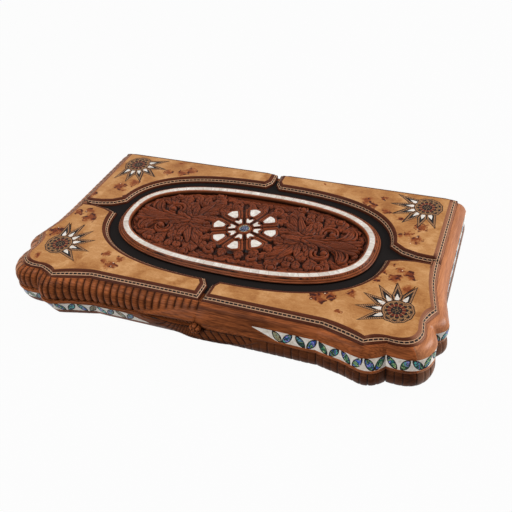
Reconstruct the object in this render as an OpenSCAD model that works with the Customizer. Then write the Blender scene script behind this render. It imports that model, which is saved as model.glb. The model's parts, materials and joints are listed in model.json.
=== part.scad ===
// Folding backgammon board with serpentine carved rails, burl panels, shell inlay
// and a carved oval medallion. Closed, it lies on its underside with the lid on top.
// The origin lies on the underside, below the middle of the medallion. The hinge
// side is at +Y, the carved front at -Y, and the lid opens backwards by half a turn.

/* [Case] */
// Width of the flat burl field on top
field_w = 434; // [410:1:460]
// Depth of the flat burl field on top
field_d = 234; // [226:1:250]
// Height of each half, from its flat side to the parting plane
half_h = 30.5; // [30:0.5:36]
// How far the rails swell out past the burl field
bulge = 20.6; // [18:0.2:23]
// Thickness of the rails inside the edge of the burl field
rail_in = 12; // [11:0.5:14]
// Gap between the two halves at the parting plane
parting_gap = 0.3; // [0.2:0.1:0.4]

/* [Gadroon ribs] */
// Width of a rib along the rail
rib_pitch = 8.8; // [8:0.2:11]
// Width of a rib round the corner lobe
lobe_pitch = 5.6; // [5:0.2:8]
// Depth of the groove between two ribs
rib_depth = 2.6; // [1.5:0.1:3.5]
// Length of the plain leaf that cuts the ribs off at the middle of the front
leaf_len = 77; // [60:1:90]
// How far the leaf swells out at the middle of the front
leaf_swell = 3; // [1:0.2:4]

/* [Shell band] */
// Height of the lip between the shell band and the parting plane
lip_h = 4.3; // [3.5:0.1:5]
// Height of the shell band along the smooth rails
band_h = 11.7; // [9:0.1:12]
// Thickness of the shell in the band
band_t = 0.8; // [0.6:0.1:1.2]
// Distance from the middle of the front to the point of the band
band_start = 61; // [50:1:75]

/* [Top panels] */
// Height of the burl panels above the leather
panel_h = 6.5; // [5.5:0.5:7.5]
// Width of the sloping moulding along the rails
edge_w = 9; // [8:0.1:10]
// Drop of the sloping moulding along the rails
edge_drop = 4.6; // [4:0.1:5.2]
// Width of the steeper moulding along the leather
inner_w = 7; // [6:0.1:7.2]
// Gap between the burl of the front or back panels at the middle
split_w = 18; // [17:0.2:21]
// Channel of leather between the burl and the ends of the medallion
channel_end = 16.7; // [14:0.1:20]
// Channel of leather between the burl and the long sides of the medallion
channel_side = 18.5; // [16:0.5:21]
// Thickness of the leather on the lid
leather_t = 1; // [0.8:0.1:1.5]

/* [Corner stars] */
// Radius of the scalloped rosette
star_r = 17.5; // [14:0.5:18.5]
// Length of a spike from the middle of the star
spike_len = 41.5; // [36:0.5:44]
// Depth of the inlay
inlay_t = 1.2; // [0.8:0.1:1.6]

/* [Medallion] */
// Width of the medallion
medallion_w = 319; // [300:1:324]
// Depth of the medallion
medallion_d = 160; // [150:1:166]
// Width of the pearl ring
pearl_w = 6; // [5:0.2:7]
// Width of the frame outside the pearl ring
frame_out_w = 6.5; // [5.5:0.5:8]
// Width of the frame inside the pearl ring
frame_in_w = 2.6; // [2:0.2:4]
// Depth of the carved field below the frame
sunk_h = 5.2; // [4:0.2:5.4]
// Radius of the rosette at the centre
rosette_r = 39; // [34:0.5:42]

/* [Thumb bud] */
// Radius of the carved bud that the lid is lifted by
bud_r = 6; // [4:0.2:7]
// Length of the bud in front of the rails
bud_len = 7; // [4:0.5:9]

/* [Inside] */
// Depth of the playing surface below the rims
field_depth = 15.5; // [15:0.5:16]
// Thickness of a playing field board
field_t = 3; // [2.5:0.5:3]
// Length of a point
point_len = 150; // [120:1:170]
// Gap between two points at their wide ends
point_gap = 1.6; // [1:0.1:3]
// Width of the rack along the front rail
rack_w = 30; // [29.2:0.2:32]
// Thickness of the rack divider
divider_t = 5; // [4:0.5:7]

/* [Checkers and dice] */
// Checkers of each colour
checkers = 15; // [10:1:15]
// Diameter of a checker
checker_d = 28; // [24:0.5:28.5]
// Thickness of a checker
checker_t = 8.5; // [7:0.5:9]
// Size of a die
die_w = 12; // [10:0.5:14]

/* [Hinges and magnets] */
// Number of hinges
hinges = 3; // [2:1:4]
// Length of a hinge
hinge_len = 44; // [36:1:60]
// Diameter of the hinge knuckle
knuckle_d = 5; // [4:0.2:6]
// Diameter of the hinge pin
pin_d = 2; // [1.6:0.1:2.4]
// Width of a hinge leaf
leaf_w = 7.6; // [6:0.2:8]
// Thickness of a hinge leaf
leaf_t = 1; // [0.8:0.1:1.4]
// Diameter of a closing magnet
magnet_d = 6; // [4:0.5:7]
// Length of a closing magnet
magnet_t = 4; // [3:0.5:6]

/* [Hidden] */

// Colours of the materials
walnut = [0.55, 0.32, 0.18];
dark_walnut = [0.33, 0.19, 0.13];
burl = [0.80, 0.58, 0.36];
pearl = [0.90, 0.88, 0.83];
abalone = [0.35, 0.55, 0.60];
black = [0.14, 0.12, 0.11];
beige = [0.80, 0.68, 0.48];
brass = [0.78, 0.62, 0.30];
felt_field = [0.72, 0.55, 0.36];

// Half sizes and levels that the rest is set from
hx = field_w / 2;
hy = field_d / 2;
top_z = 2 * half_h;
hinge_y = hy + 2;
back_y = hinge_y - parting_gap / 2;
seat = panel_h;
in_x = hx - rail_in;
in_front = -hy + rail_in - 1;
in_back = hy - rail_in + 2;
rebate = 6;
ledge = half_h - field_depth - field_t;
lid_panel_t = ledge - panel_h - leather_t;
band_top = half_h - lip_h - band_h;
divider_y = in_front + rack_w;
field_y = divider_y + divider_t;
fit = 0.05;

// One half turn about the middle of the hinge side swaps the two halves' rails,
// so both halves use the same rails: the base turns them upside down.
module as_base() translate([0, 0, half_h]) rotate([0, 180, 0]) translate([0, 0, -half_h]) children();

// Outline of the burl edge, from the middle of the front to the back at the right.
// Each row is a point and the direction, in parts of the bulge, in which the rail
// swells there. A round stretch has a middle row, which is its control point.
mid_front = [[0, -hy], [0, -1.03]];
flat_end = [[hx - 86, -hy], [0, -1.03]];
brow_pull = [[hx - 59.5, -hy - 3], [-0.14, -1.46]];
front_cusp = [[hx - 38.4, -hy - 12.7], [0.02, -0.985]];
lobe_pull = [[hx - 30.4, -hy - 5.8], [0.23, -1.23]];
lobe_start = [[hx - 18.3, -hy - 5.6], [0.14, -0.67]];
lobe_round = [[hx + 8, -hy - 7.7], [0.78, -0.985]];
lobe_side = [[hx + 8.3, -hy + 11], [0.93, -0.32]];
lobe_waist = [[hx + 6.7, -hy + 18.6], [0.985, -0.13]];
lobe_end = [[hx + 6.8, -hy + 25.1], [0.76, -0.05]];
side_pull = [[hx + 6.6, -hy + 38.3], [1.28, -0.45]];
side_cusp = [[hx + 14, -hy + 45.1], [0.95, -0.335]];
flare_pull = [[hx + 9, -hy + 60.8], [1.02, -0.456]];
flare_end = [[hx + 4.3, -hy + 81.4], [0.956, -0.31]];
side_soft = [[hx + 1.3, -hy + 98.3], [1.03, -0.21]];
side_mid = [[hx + 0.8, 0], [1.03, 0]];
side_back = [[hx - 0.4, back_y], [0.95, 0]];

// Rows along one straight or round stretch, without its last row
function straight(a, b, n) = [for (i = [0:n - 1]) let (t = i / n) (1 - t) * a + t * b];
function round3(a, c, b, n) =
    [for (i = [0:n - 1]) let (t = i / n) (1 - t) * (1 - t) * a + 2 * t * (1 - t) * c + t * t * b];
// The same for the second half of a round stretch
function round3_from(a, c, b, n) =
    [for (i = [0:n - 1]) let (t = 0.5 + i / n / 2) (1 - t) * (1 - t) * a + 2 * t * (1 - t) * c + t * t * b];
function round3_to(a, c, b, n) =
    [for (i = [0:n - 1]) let (t = i / n / 2) (1 - t) * (1 - t) * a + 2 * t * (1 - t) * c + t * t * b];
lobe_corner = 0.25 * lobe_start + 0.5 * lobe_round + 0.25 * lobe_side;

// Front half path and side path, with chosen numbers of rows on each stretch
function front_path(n) = concat(straight(mid_front, flat_end, n[0]),
    round3(flat_end, brow_pull, front_cusp, n[1]), round3(front_cusp, lobe_pull, lobe_start, n[2]),
    round3_to(lobe_start, lobe_round, lobe_side, n[3]), [lobe_corner]);
function side_path(n) = concat(round3_from(lobe_start, lobe_round, lobe_side, n[0]),
    round3(lobe_side, lobe_waist, lobe_end, n[1]), round3(lobe_end, side_pull, side_cusp, n[2]),
    round3(side_cusp, flare_pull, flare_end, n[3]), round3(flare_end, side_soft, side_mid, n[4]),
    straight(side_mid, side_back, n[5]), [side_back]);

// Ribs on a stretch between two rows, and on each stretch of the front and of the side
function ribs(a, b, pitch) = max(1, round(norm(b[0] - a[0] + bulge * (b[1] - a[1])) / pitch));
front_ribs = [ribs(mid_front, flat_end, rib_pitch), ribs(flat_end, front_cusp, rib_pitch),
    ribs(front_cusp, lobe_start, rib_pitch), ribs(lobe_start, lobe_corner, lobe_pitch)];
side_ribs = [ribs(lobe_corner, lobe_side, lobe_pitch), ribs(lobe_side, lobe_end, rib_pitch),
    ribs(lobe_end, side_cusp, rib_pitch), ribs(side_cusp, flare_end, rib_pitch),
    ribs(flare_end, side_mid, rib_pitch), ribs(side_mid, side_back, rib_pitch)];

// Cross-section of a rail, outside the seat of the panels. Each row is a distance out
// from the edge of the burl field and a height below the flat side. The smooth side has
// an ovolo, the recess of the shell band and the lip; the ribbed side swells and
// curls in above the parting plane.
rim = parting_gap / 2 - half_h;
function swell(f, g) = [edge_w + (bulge - edge_w) * f, -edge_drop - (band_top - edge_drop) * g];
function curl(f, g) = [edge_w + (bulge - edge_w) * f, -edge_drop + (rim + edge_drop) * g];
function smooth_side(cut) = [[edge_w, -edge_drop], swell(0.4, 0.14), swell(0.75, 0.48), swell(1, 1),
    [bulge - cut, -band_top - 0.2], [bulge - cut, -band_top - band_h],
    [bulge + 0.6, -band_top - band_h - 0.2], [bulge + 0.4, rim]];
ribbed_side = [[edge_w, -edge_drop], curl(0.3, 0.045), curl(0.65, 0.16), curl(0.92, 0.33),
    curl(1.07, 0.55), curl(1.05, 0.76), curl(0.97, 0.91), curl(0.86, 1)];

// Height below which the plain leaf cuts the ribs off, at a distance from the middle
function leaf_top(x) = -band_top + 3 - (half_h - band_top - 1) * x / leaf_len;
// How much of the rib groove is cut at a cross-section point: none next to the moulding
// and none in the leaf
function groove(j, x, z) = (j == 0 || (x < leaf_len && z < leaf_top(x))) ? 0 : rib_depth;
// The leaf swells towards the middle of the front
function leaf_out(j, x) = (j < 3 || x > leaf_len) ? 0 : leaf_swell * pow(cos(90 * x / leaf_len), 2);

// One ring of a rail: its inner corner points, then the outer cross-section.
// The ring starts at the foot of the rebate, which sees all of its other points.
function ring(row, wall, out, top) = let (b = row[0], k = row[1], foot = wall + rebate * sign2(wall))
    concat([[foot.x, foot.y, top_z - ledge], [foot.x, foot.y, top_z - top[0]],
        [b.x + k.x * top[1], b.y + k.y * top[1], top_z - top[0]]],
        [for (p = out) [b.x + k.x * p[0], b.y + k.y * p[0], top_z + p[1]]],
        [[wall.x, wall.y, top_z + rim], [wall.x, wall.y, top_z - ledge]]);
// Which way is outwards at a point of the inner wall: forwards, or sideways, or both
function sign2(wall) = [abs(wall.x) < in_x - 0.01 ? 0 : sign(wall.x), wall.y > in_front + 0.01 ? 0 : -1];
// The seat under the panels of the lid, or the plain flat rim of the base's underside
lid_top = [seat, edge_w];
base_top = [0, 0];

// A closed solid through rings of equal length, with flat ends fanned from the first point
module sweep(rings) {
    n = len(rings);
    m = len(rings[0]);
    faces = concat(
        [for (i = [0:n - 2], j = [0:m - 1]) let (a = i * m + j, b = i * m + (j + 1) % m) [a, a + m, b]],
        [for (i = [0:n - 2], j = [0:m - 1]) let (a = i * m + j, b = i * m + (j + 1) % m) [b, a + m, b + m]],
        [for (j = [1:m - 2]) [0, j, j + 1]],
        [for (j = [1:m - 2]) let (e = (n - 1) * m) [e, e + j + 1, e + j]]);
    polyhedron(points = [for (r = rings, p = r) p], faces = faces, convexity = 10);
}
// The same for rings that run round and meet again
module loop_sweep(rings) {
    n = len(rings);
    m = len(rings[0]);
    faces = [for (i = [0:n - 1], j = [0:m - 1], h = [0, 1])
        let (k = (i + 1) % n, t = (j + 1) % m)
        h == 0 ? [i * m + j, k * m + j, i * m + t] : [i * m + t, k * m + j, k * m + t]];
    polyhedron(points = [for (r = rings, p = r) p], faces = faces, convexity = 10);
}

function flip(row) = [[-row[0].x, row[0].y], [-row[1].x, row[1].y]];
function reversed(v) = [for (i = [len(v) - 1:-1:0]) v[i]];
function front_wall(row) = [in_x * row[0].x / lobe_corner[0].x, in_front];
function side_wall(row, x) = [x, in_front + (back_y - in_front)
    * (row[0].y - lobe_corner[0].y) / (side_back[0].y - lobe_corner[0].y)];

// Outer points of a ribbed ring: the first of each rib's rows lies in its groove
function ribbed_out(row, x, first) = [for (j = [0:len(ribbed_side) - 1]) let (p = ribbed_side[j])
    [p[0] - (first ? groove(j, x, p[1]) : 0) + leaf_out(j, x), p[1]]];
function smooth_out(row, x) = let (s = smooth_side(x < band_start ? 0 : band_t))
    [for (j = [0:len(s) - 1]) [s[j][0] + leaf_out(j, x), s[j][1]]];
far = 2 * leaf_len;

// The front rail: ribs at the left, the smooth side with its shell band at the right
smooth_front = front_path([6, 5, 3, 4]);
smooth_right = side_path([4, 2, 4, 4, 3, 1]);
bud_y = -hy - 1.03 * (bulge + leaf_swell) + 0.4;
bud_z = half_h + 2.5;
module front_rail(top, seat_z, seat_gap) {
    left = reversed(front_path(3 * front_ribs));
    difference() {
        sweep(concat(
            [for (i = [0:len(left) - 2]) let (row = flip(left[i]), x = abs(row[0].x))
                ring(row, front_wall(row), ribbed_out(row, x, (len(left) - 1 - i) % 3 == 0), top)],
            [for (row = smooth_front) ring(row, front_wall(row), smooth_out(row, row[0].x), top)]));
        for (x = magnet_x) translate([x, magnet_y, half_h])
            cylinder(d = magnet_d + 2 * fit, h = magnet_t + 0.4, $fn = 32);
        translate([0, bud_y + seat_gap, seat_z]) rotate([90, 0, 0])
            cylinder(r = bud_r + seat_gap, h = 20, $fn = 48);
    }
}
module right_rail(top) {
    sweep([for (row = smooth_right) ring(row, side_wall(row, in_x), smooth_out(row, far), top)]);
}
module left_rail(top) {
    rows = reversed(side_path(2 * side_ribs));
    n = len(rows);
    sweep([for (i = [0:n - 1]) let (row = flip(rows[i]))
        ring(row, side_wall(row, -in_x), ribbed_out(row, far, (n - 1 - i) % 2 == 0), top)]);
}
magnet_x = [-in_x * 0.75, in_x * 0.75];
magnet_y = in_front - magnet_d / 2 - 4;
module magnets() {
    for (x = magnet_x) translate([x, magnet_y, half_h + parting_gap / 2 + 0.1])
        cylinder(d = magnet_d, h = magnet_t, $fn = 32);
}

// A shell strip lies in the recess of the smooth side and comes to a point at the front
module shell_strip(rows, from_point) {
    sweep([for (row = rows) let (x = from_point ? row[0].x : far, out = bulge + leaf_out(5, x),
        grow = min(1, (x - band_start) / 30), low = -band_top - 0.2 - (band_h - 0.2) * grow)
        [for (p = [[out - band_t, low], [out - band_t, -band_top - 0.2],
            [out, -band_top - 0.2], [out, low]])
            [row[0].x + row[1].x * p[0], row[0].y + row[1].y * p[0], top_z + p[1]]]]);
}
module shell_front() shell_strip([for (row = smooth_front) if (row[0].x > band_start) row], true);
module shell_side() shell_strip(smooth_right, false);

// The back rail lies between the side rails and is let in for the hinges
knuckle_r = knuckle_d / 2;
hinge_x = [for (i = [0:hinges - 1]) (i - (hinges - 1) / 2) * (2 * in_x - 2 * hinge_len) / (hinges - 1)];
leaf_y = hinge_y - knuckle_r - leaf_w;
screw_x = [-0.34, 0, 0.34] * hinge_len;
screw_y = leaf_y + leaf_w / 2;
screw_r = 1;
head_r = 1.7;
screw_len = 8;
module back_rail(top) {
    difference() {
        union() {
            translate([-in_x, in_back, half_h + parting_gap / 2])
                cube([2 * in_x, back_y - in_back, -rim - ledge]);
            translate([-in_x - rebate, in_back + rebate, top_z - ledge])
                cube([2 * (in_x + rebate), back_y - in_back - rebate, ledge - top[0]]);
            translate([-in_x, in_back + rebate, top_z - ledge - 1])
                cube([2 * in_x, back_y - in_back - rebate, 2]);
        }
        for (x = hinge_x) translate([x, 0, half_h]) {
            translate([-hinge_len / 2 - 2 * fit, hinge_y - knuckle_r - 0.4, -1])
                cube([hinge_len + 4 * fit, knuckle_r + 1, knuckle_r + 1.4]);
            translate([-hinge_len / 2 - 2 * fit, leaf_y - fit, -1])
                cube([hinge_len + 4 * fit, leaf_w, 1 + parting_gap / 2 + leaf_t + fit]);
            for (sx = screw_x) translate([sx, screw_y, 0])
                cylinder(r = screw_r + fit, h = screw_len + 2, $fn = 24);
        }
    }
}

// A hinge leaf lies let into the rim, with every second knuckle round the pin
knuckles = 5;
module leaf_of(x, own) {
    step = hinge_len / knuckles;
    difference() {
        union() {
            translate([x - hinge_len / 2, leaf_y, half_h + parting_gap / 2])
                cube([hinge_len, leaf_w - 0.3, leaf_t]);
            for (k = own) translate([x - hinge_len / 2 + k * step + 0.15, 0, half_h]) {
                translate([0, leaf_y + leaf_w - 1, parting_gap / 2])
                    cube([step - 0.3, knuckle_r + 1, leaf_t]);
                translate([0, hinge_y, 0]) rotate([0, 90, 0])
                    cylinder(r = knuckle_r, h = step - 0.3, $fn = 48);
            }
        }
        translate([x - hinge_len, hinge_y, half_h]) rotate([0, 90, 0])
            cylinder(r = pin_d / 2 + (len(own) == 2 ? fit : 0.02), h = 2 * hinge_len, $fn = 48);
        for (sx = screw_x) translate([x + sx, screw_y, half_h]) cylinder(r = head_r + fit, h = 3, $fn = 32);
    }
}
module hinge_screws() {
    for (x = hinge_x, sx = screw_x) translate([x + sx, screw_y, half_h + parting_gap / 2]) {
        cylinder(r = head_r, h = leaf_t, $fn = 32);
        cylinder(r = screw_r, h = screw_len, $fn = 24);
    }
}

// Playing field with six points at each short end, let in flush
points = 6;
pitch = (in_back - field_y) / points;
inlay_depth = 0.8;
module point_shape(i, side) {
    y0 = field_y + pitch * i;
    polygon([[side * (in_x - 0.5), y0 + point_gap / 2], [side * (in_x - 0.5), y0 + pitch - point_gap / 2],
        [side * (in_x - point_len), y0 + pitch / 2]]);
}
module points(odd) {
    translate([0, 0, top_z - ledge - field_t]) linear_extrude(inlay_depth)
        for (i = [0:points - 1], s = [0, 1]) if ((i + s) % 2 == odd) point_shape(i, 2 * s - 1);
}
module playing_field() {
    difference() {
        translate([-in_x, field_y, top_z - ledge - field_t]) cube([2 * in_x, in_back - field_y, field_t]);
        translate([0, 0, top_z - ledge - field_t - 1]) linear_extrude(1 + inlay_depth)
            for (i = [0:points - 1], s = [-1, 1]) point_shape(i, s);
    }
}
module rack_divider() {
    translate([-in_x, divider_y, half_h + parting_gap / 2]) cube([2 * in_x, divider_t, -rim - ledge]);
}

// A turned checker standing on its edge, with a dished ring in each face
module checker() {
    r = checker_d / 2;
    h = checker_t / 2;
    rotate([0, 90, 0]) rotate_extrude($fn = 64)
        polygon([[0, -h + 0.8], [r * 0.45, -h + 0.8], [r * 0.55, -h], [r * 0.85, -h], [r, -h + 1.4],
            [r, h - 1.4], [r * 0.85, h], [r * 0.55, h], [r * 0.45, h - 0.8], [0, h - 0.8]]);
}
module checker_row(side) {
    for (i = [0:checkers - 1]) translate([side * (in_x - 1 - (i + 0.5) * (checker_t + 0.1)),
        in_front + rack_w / 2, ledge + checker_d / 2 + 0.05]) checker();
}
dice_x = in_x - 1 - checkers * (checker_t + 0.1) - die_w;
module die(x) {
    translate([x, in_front + rack_w / 2, ledge + 0.05 + die_w / 2]) intersection() {
        cube(die_w, center = true);
        sphere(r = die_w * 0.7, $fn = 48);
    }
}

// Oval with flattened ends, for the opening in the panels and for the medallion
function oval_point(a, b, n, t) =
    [a * sign(cos(t)) * pow(abs(cos(t)), 2 / n), b * sign(sin(t)) * pow(abs(sin(t)), 2 / n)];
oval_a = medallion_w / 2 + channel_end;
oval_b = medallion_d / 2 + channel_side;
waist_w = hx - oval_a;
brow_w = hy - oval_b;
oval_n = 2.6;
function oval_angle(y) = asin(pow(y / oval_b, oval_n / 2));
function oval_angle_x(x) = acos(pow(x / oval_a, oval_n / 2));
side_gap = inner_w + 0.2;
tip_front = 13.5;
tip_back = 20.3;
split_flare = 3.5;
split_deep = 0.72 * brow_w;

// The opening's curve from one angle to another, in equal steps
function opening(t0, t1, n) =
    [for (i = [0:n]) oval_point(oval_a, oval_b, oval_n, t0 + (t1 - t0) * i / n)];

// Corners of the two right panels, running counter-clockwise seen from above
rail_rows = concat([flat_end], round3(flat_end, brow_pull, front_cusp, 5),
    round3(front_cusp, lobe_pull, lobe_start, 3), round3(lobe_start, lobe_round, lobe_side, 8),
    round3(lobe_side, lobe_waist, lobe_end, 2), round3(lobe_end, side_pull, side_cusp, 4),
    round3(side_cusp, flare_pull, flare_end, 4), round3(flare_end, side_soft, side_mid, 3));
front_rows = [for (i = [1:len(rail_rows) - 1]) rail_rows[i]];
front_inner = concat([[side_mid[0].x, -side_gap], [side_mid[0].x - 0.16 * waist_w, -side_gap],
    [hx - 0.4 * waist_w, -side_gap], [hx - 0.775 * waist_w, -side_gap - 2.5]],
    [for (p = opening(oval_angle(tip_front), oval_angle_x(split_w / 2 + split_flare), 9)) [p.x, -p.y]],
    [[split_w / 2, -hy + split_deep], [split_w / 2, -hy + 6]]);
back_edge = [[side_mid[0].x, side_gap + 6.5], [side_back[0].x, hy - 6]];
back_inner = concat([[split_w / 2, hy - 6], [split_w / 2, hy - split_deep]],
    reversed(opening(oval_angle(tip_back), oval_angle_x(split_w / 2 + split_flare), 9)),
    [[hx - 0.75 * waist_w, side_gap + 5.5], [hx - 0.4 * waist_w, side_gap + 1.5],
    [side_mid[0].x - 0.16 * waist_w, side_gap + 0.5], [side_mid[0].x, side_gap + 0.5]]);
back_corner = [[side_back[0].x, hy], [side_back[0].x - 6, hy], [split_w / 2 + 6, hy], [split_w / 2, hy]];

// Mouldings round a panel. Each row is a corner of the burl, the direction it swells in
// when it follows the rail, and whether the edge after it has the sloping profile.
outer_rise = [[0, 0], [0.32, 0.16], [0.34, 0.32], [0.66, 0.6], [0.68, 0.46], [1, 1],
    [1, 1.625], [0, 1.625]];
outer_moulding = [for (i = [0:7])
    [edge_w * outer_rise[i][0], i > 5 ? -panel_h : -edge_drop * outer_rise[i][1]]];
inner_rise = [[0, 0], [0.32, 0.16], [0.31, 0.28], [0.64, 0.62], [0.7, 0.52], [1, 0.88], [1, 1], [0, 1]];
inner_moulding = [for (p = inner_rise) [inner_w * p[0], -panel_h * p[1]]];
// Level strip that ends the back panels at the hinge side
back_rise = [[0, 0], [0.3, 0.02], [0.34, 0.1], [0.66, 0.1], [0.7, 0.02], [1, 0.02], [1, 1], [0, 1]];
back_moulding = [for (p = back_rise) [(back_y - hy) * p[0], -panel_h * p[1]]];
profiles = [outer_moulding, inner_moulding, back_moulding];

function unit(v) = v / norm(v);
function out_of(a, b) = let (d = unit(b - a)) [d.y, -d.x];
// Where an offset point lies at a corner between two edges with their own offsets
function mitre(n, m, u, w) = let (c = n * m)
    c > 0.999 ? n * (u + w) / 2 : ((u - w * c) * n + (w - u * c) * m) / (1 - c * c);
function moulding_rings(edge, pull, kind, picks) = let (n = len(edge))
    [for (i = [0:n - 1]) let (q = (i + n - 1) % n, last = profiles[kind[q]], next = profiles[kind[i]],
        before = out_of(edge[q], edge[i]), after = out_of(edge[i], edge[(i + 1) % n])) [for (j = picks)
            let (v = pull[i] == [0, 0] ? mitre(before, after, last[j][0], next[j][0])
                : kind[i] == kind[q] ? pull[i] * next[j][0] : pull[i] * last[j][0] + after * next[j][0])
            [edge[i].x + v.x, edge[i].y + v.y, top_z + (last[j][1] + next[j][1]) / 2]]];
function many(v, n) = [for (i = [0:1:n - 1]) v];

front_shape = concat([[split_w / 2, -hy], [split_w / 2 + 6, -hy]], [for (row = front_rows) row[0]],
    [[side_mid[0].x, -side_gap - 6]], front_inner);
front_pull = concat([[0, 0], [0, -1.03]], [for (row = front_rows) row[1]], [[1.03, 0]],
    many([0, 0], len(front_inner)));
front_kind = concat(many(0, len(front_rows) + 3), many(1, len(front_inner)));
back_shape = concat(back_edge, back_corner, back_inner);
back_pull = concat([[1.02, 0], [0.95, 0], [0.95, 0]], many([0, 0], len(back_corner) + len(back_inner) - 1));
back_kind = concat([0, 0], [2, 2, 2, 1], many(1, len(back_inner) - 1), [0]);
all_picks = [0, 1, 2, 3, 4, 5, 6, 7];
inlay_picks = [1, 2, 3, 4];
module moulding(front) {
    if (front) loop_sweep(moulding_rings(front_shape, front_pull, front_kind, all_picks));
    else loop_sweep(moulding_rings(back_shape, back_pull, back_kind, all_picks));
}
module banding(front) {
    if (front) loop_sweep(moulding_rings(front_shape, front_pull, front_kind, inlay_picks));
    else loop_sweep(moulding_rings(back_shape, back_pull, back_kind, inlay_picks));
}

// Corner star: a scalloped disc with six spikes in order of their angles, let into the burl
star_front = [hx - 17.2, -hy + 31.2];
star_back = [hx - 25.5, hy - 23.5];
spikes_front = [76, 103, 130, 157, 186, 215];
spikes_back = [151, 181, 211, 241, 270, 298];
scallops = 12;
scallop_deep = 2.2;
spike_base = 6;
function turned(r, a) = r * [cos(a), sin(a)];
function scalloped(a) = star_r - scallop_deep * pow(abs(sin(scallops * a / 2)), 3);
// Two spikes meet where their edges cross, or at the disc when they stand wide apart
spike_slope = spike_base / (spike_len - star_r);
function valley(h) = max(star_r, spike_slope * spike_len / (tan(h) + spike_slope) / cos(h));
function star_edge(spikes) = let (n = len(spikes)) concat(
    [for (i = [0:n - 1]) each [turned(spike_len, spikes[i]),
        i == n - 1 ? turned(star_r - scallop_deep, spikes[i] + 15)
        : turned(valley((spikes[i + 1] - spikes[i]) / 2), (spikes[i + 1] + spikes[i]) / 2)]],
    [for (a = [20:5:spikes[0] + 340 - spikes[n - 1]]) turned(scalloped(a), a + spikes[n - 1])]);
module star(spikes, h) {
    linear_extrude(h) polygon(star_edge(spikes));
}
module drops(spikes, z, h) {
    for (a = spikes) rotate([0, 0, a]) translate([star_r, 0, z]) linear_extrude(h)
        polygon([[-1.5, -1.4], [0.5, -2.1], [9, 0], [0.5, 2.1], [-1.5, 1.4]]);
}
module right_panel(front) {
    difference() {
        translate([0, 0, top_z - panel_h]) linear_extrude(panel_h)
            polygon(front ? front_shape : back_shape);
        translate(front ? star_front : star_back) translate([0, 0, top_z - inlay_t])
            star(front ? spikes_front : spikes_back, inlay_t + 1);
    }
}
module right_star(front) {
    spikes = front ? spikes_front : spikes_back;
    translate(front ? star_front : star_back) difference() {
        translate([0, 0, top_z - inlay_t]) star(spikes, inlay_t);
        drops(spikes, top_z - 2 * inlay_t, 3 * inlay_t);
    }
}
module at_left() mirror([1, 0, 0]) children();

// Medallion: a stepped oval frame with a pearl ring round a sunk carved field
med_a = medallion_w / 2;
med_b = medallion_d / 2;
med_n = 2.5;
oval_steps = 44;
low = top_z - panel_h;
ring_out = frame_out_w;
ring_in = frame_out_w + pearl_w;
field_in = ring_in + frame_in_w;
frame_side = [[0, low], [0, low + 1.8], [1.6, low + 2.6], [1.6, low + 3.4], [3, low + 5],
    [4.6, top_z - 0.2], [ring_out, top_z], [ring_out, top_z - 1.6],
    [ring_in, top_z - 1.6], [ring_in, top_z], [field_in - 0.6, top_z], [field_in, top_z - sunk_h], [field_in, low]];
pearl_side = [[ring_out, top_z - 1.6], [ring_out, top_z - 0.1], [ring_in, top_z - 0.1],
    [ring_in, top_z - 1.6]];
module oval_ring(side) {
    loop_sweep([for (i = [0:oval_steps - 1])
        [for (p = side) let (q = oval_point(med_a - p[0], med_b - p[0], med_n, 360 * i / oval_steps + 0.01))
            [q.x, q.y, p[1]]]]);
}
module plaque_ground() {
    translate([0, 0, low]) linear_extrude(panel_h - sunk_h)
        polygon([for (i = [0:oval_steps - 1])
            oval_point(med_a - field_in, med_b - field_in, med_n, 360 * i / oval_steps + 0.01)]);
}
// Carved leaves. Each row is the root, the middle, the tip, half the width and the height.
// They are laid one over another from the border to the heart of the palmette.
border_leaves = [[[-3, 50], [6, 53], [17, 54], 6, 1.6], [[17, 56], [27, 53], [38, 54], 6, 1.5],
    [[34, 57], [46, 55], [58, 53], 6.5, 1.6], [[54, 56], [66, 54], [77, 52], 6.5, 1.5],
    [[74, 53], [86, 51], [97, 48], 6, 1.6], [[95, 48], [106, 44], [113, 40], 6, 1.5]];
outer_leaves = [[[58, 30], [54, 40], [45, 50], 8.5, 2.9], [[66, 32], [68, 41], [66, 50], 6.5, 2.7],
    [[80, 34], [85, 42], [91, 50], 8, 2.8], [[98, 32], [107, 37], [115, 43], 8.5, 2.9],
    [[112, 28], [120, 33], [127, 31], 6.5, 2.7], [[46, 34], [38, 37], [31, 43], 5.5, 2.7]];
long_leaves = [[[64, 5], [60, 18], [51, 30], 6, 3.1], [[67, 6], [67, 18], [61, 30], 5.5, 3.3],
    [[60, 9], [53, 18], [44, 24], 5, 3.1], [[70, 8], [72, 20], [78, 32], 6.5, 3.4],
    [[76, 8], [83, 16], [88, 30], 6, 3.5], [[104, 7], [117, 11], [126, 27], 7.5, 3.4],
    [[108, 6], [123, 9], [134, 17], 5, 3.7]];
heart_leaves = [[[70, 4], [78, 11], [80, 20], 4.6, 3.9], [[74, 3], [86, 8], [93, 15], 4.4, 4],
    [[72, 3], [60, 8], [49, 9], 4.8, 3.8], [[82, 2], [97, 6], [108, 10], 3.8, 4.1]];
axis_leaves = [[[74, 0], [62, 0], [44, 0], 5.4, 4], [[86, 0], [112, 0], [139, 0], 8, 4.3],
    [[70, 0], [84, 0], [104, 0], 4.2, 4.7]];
leaf_steps = 5;
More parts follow.
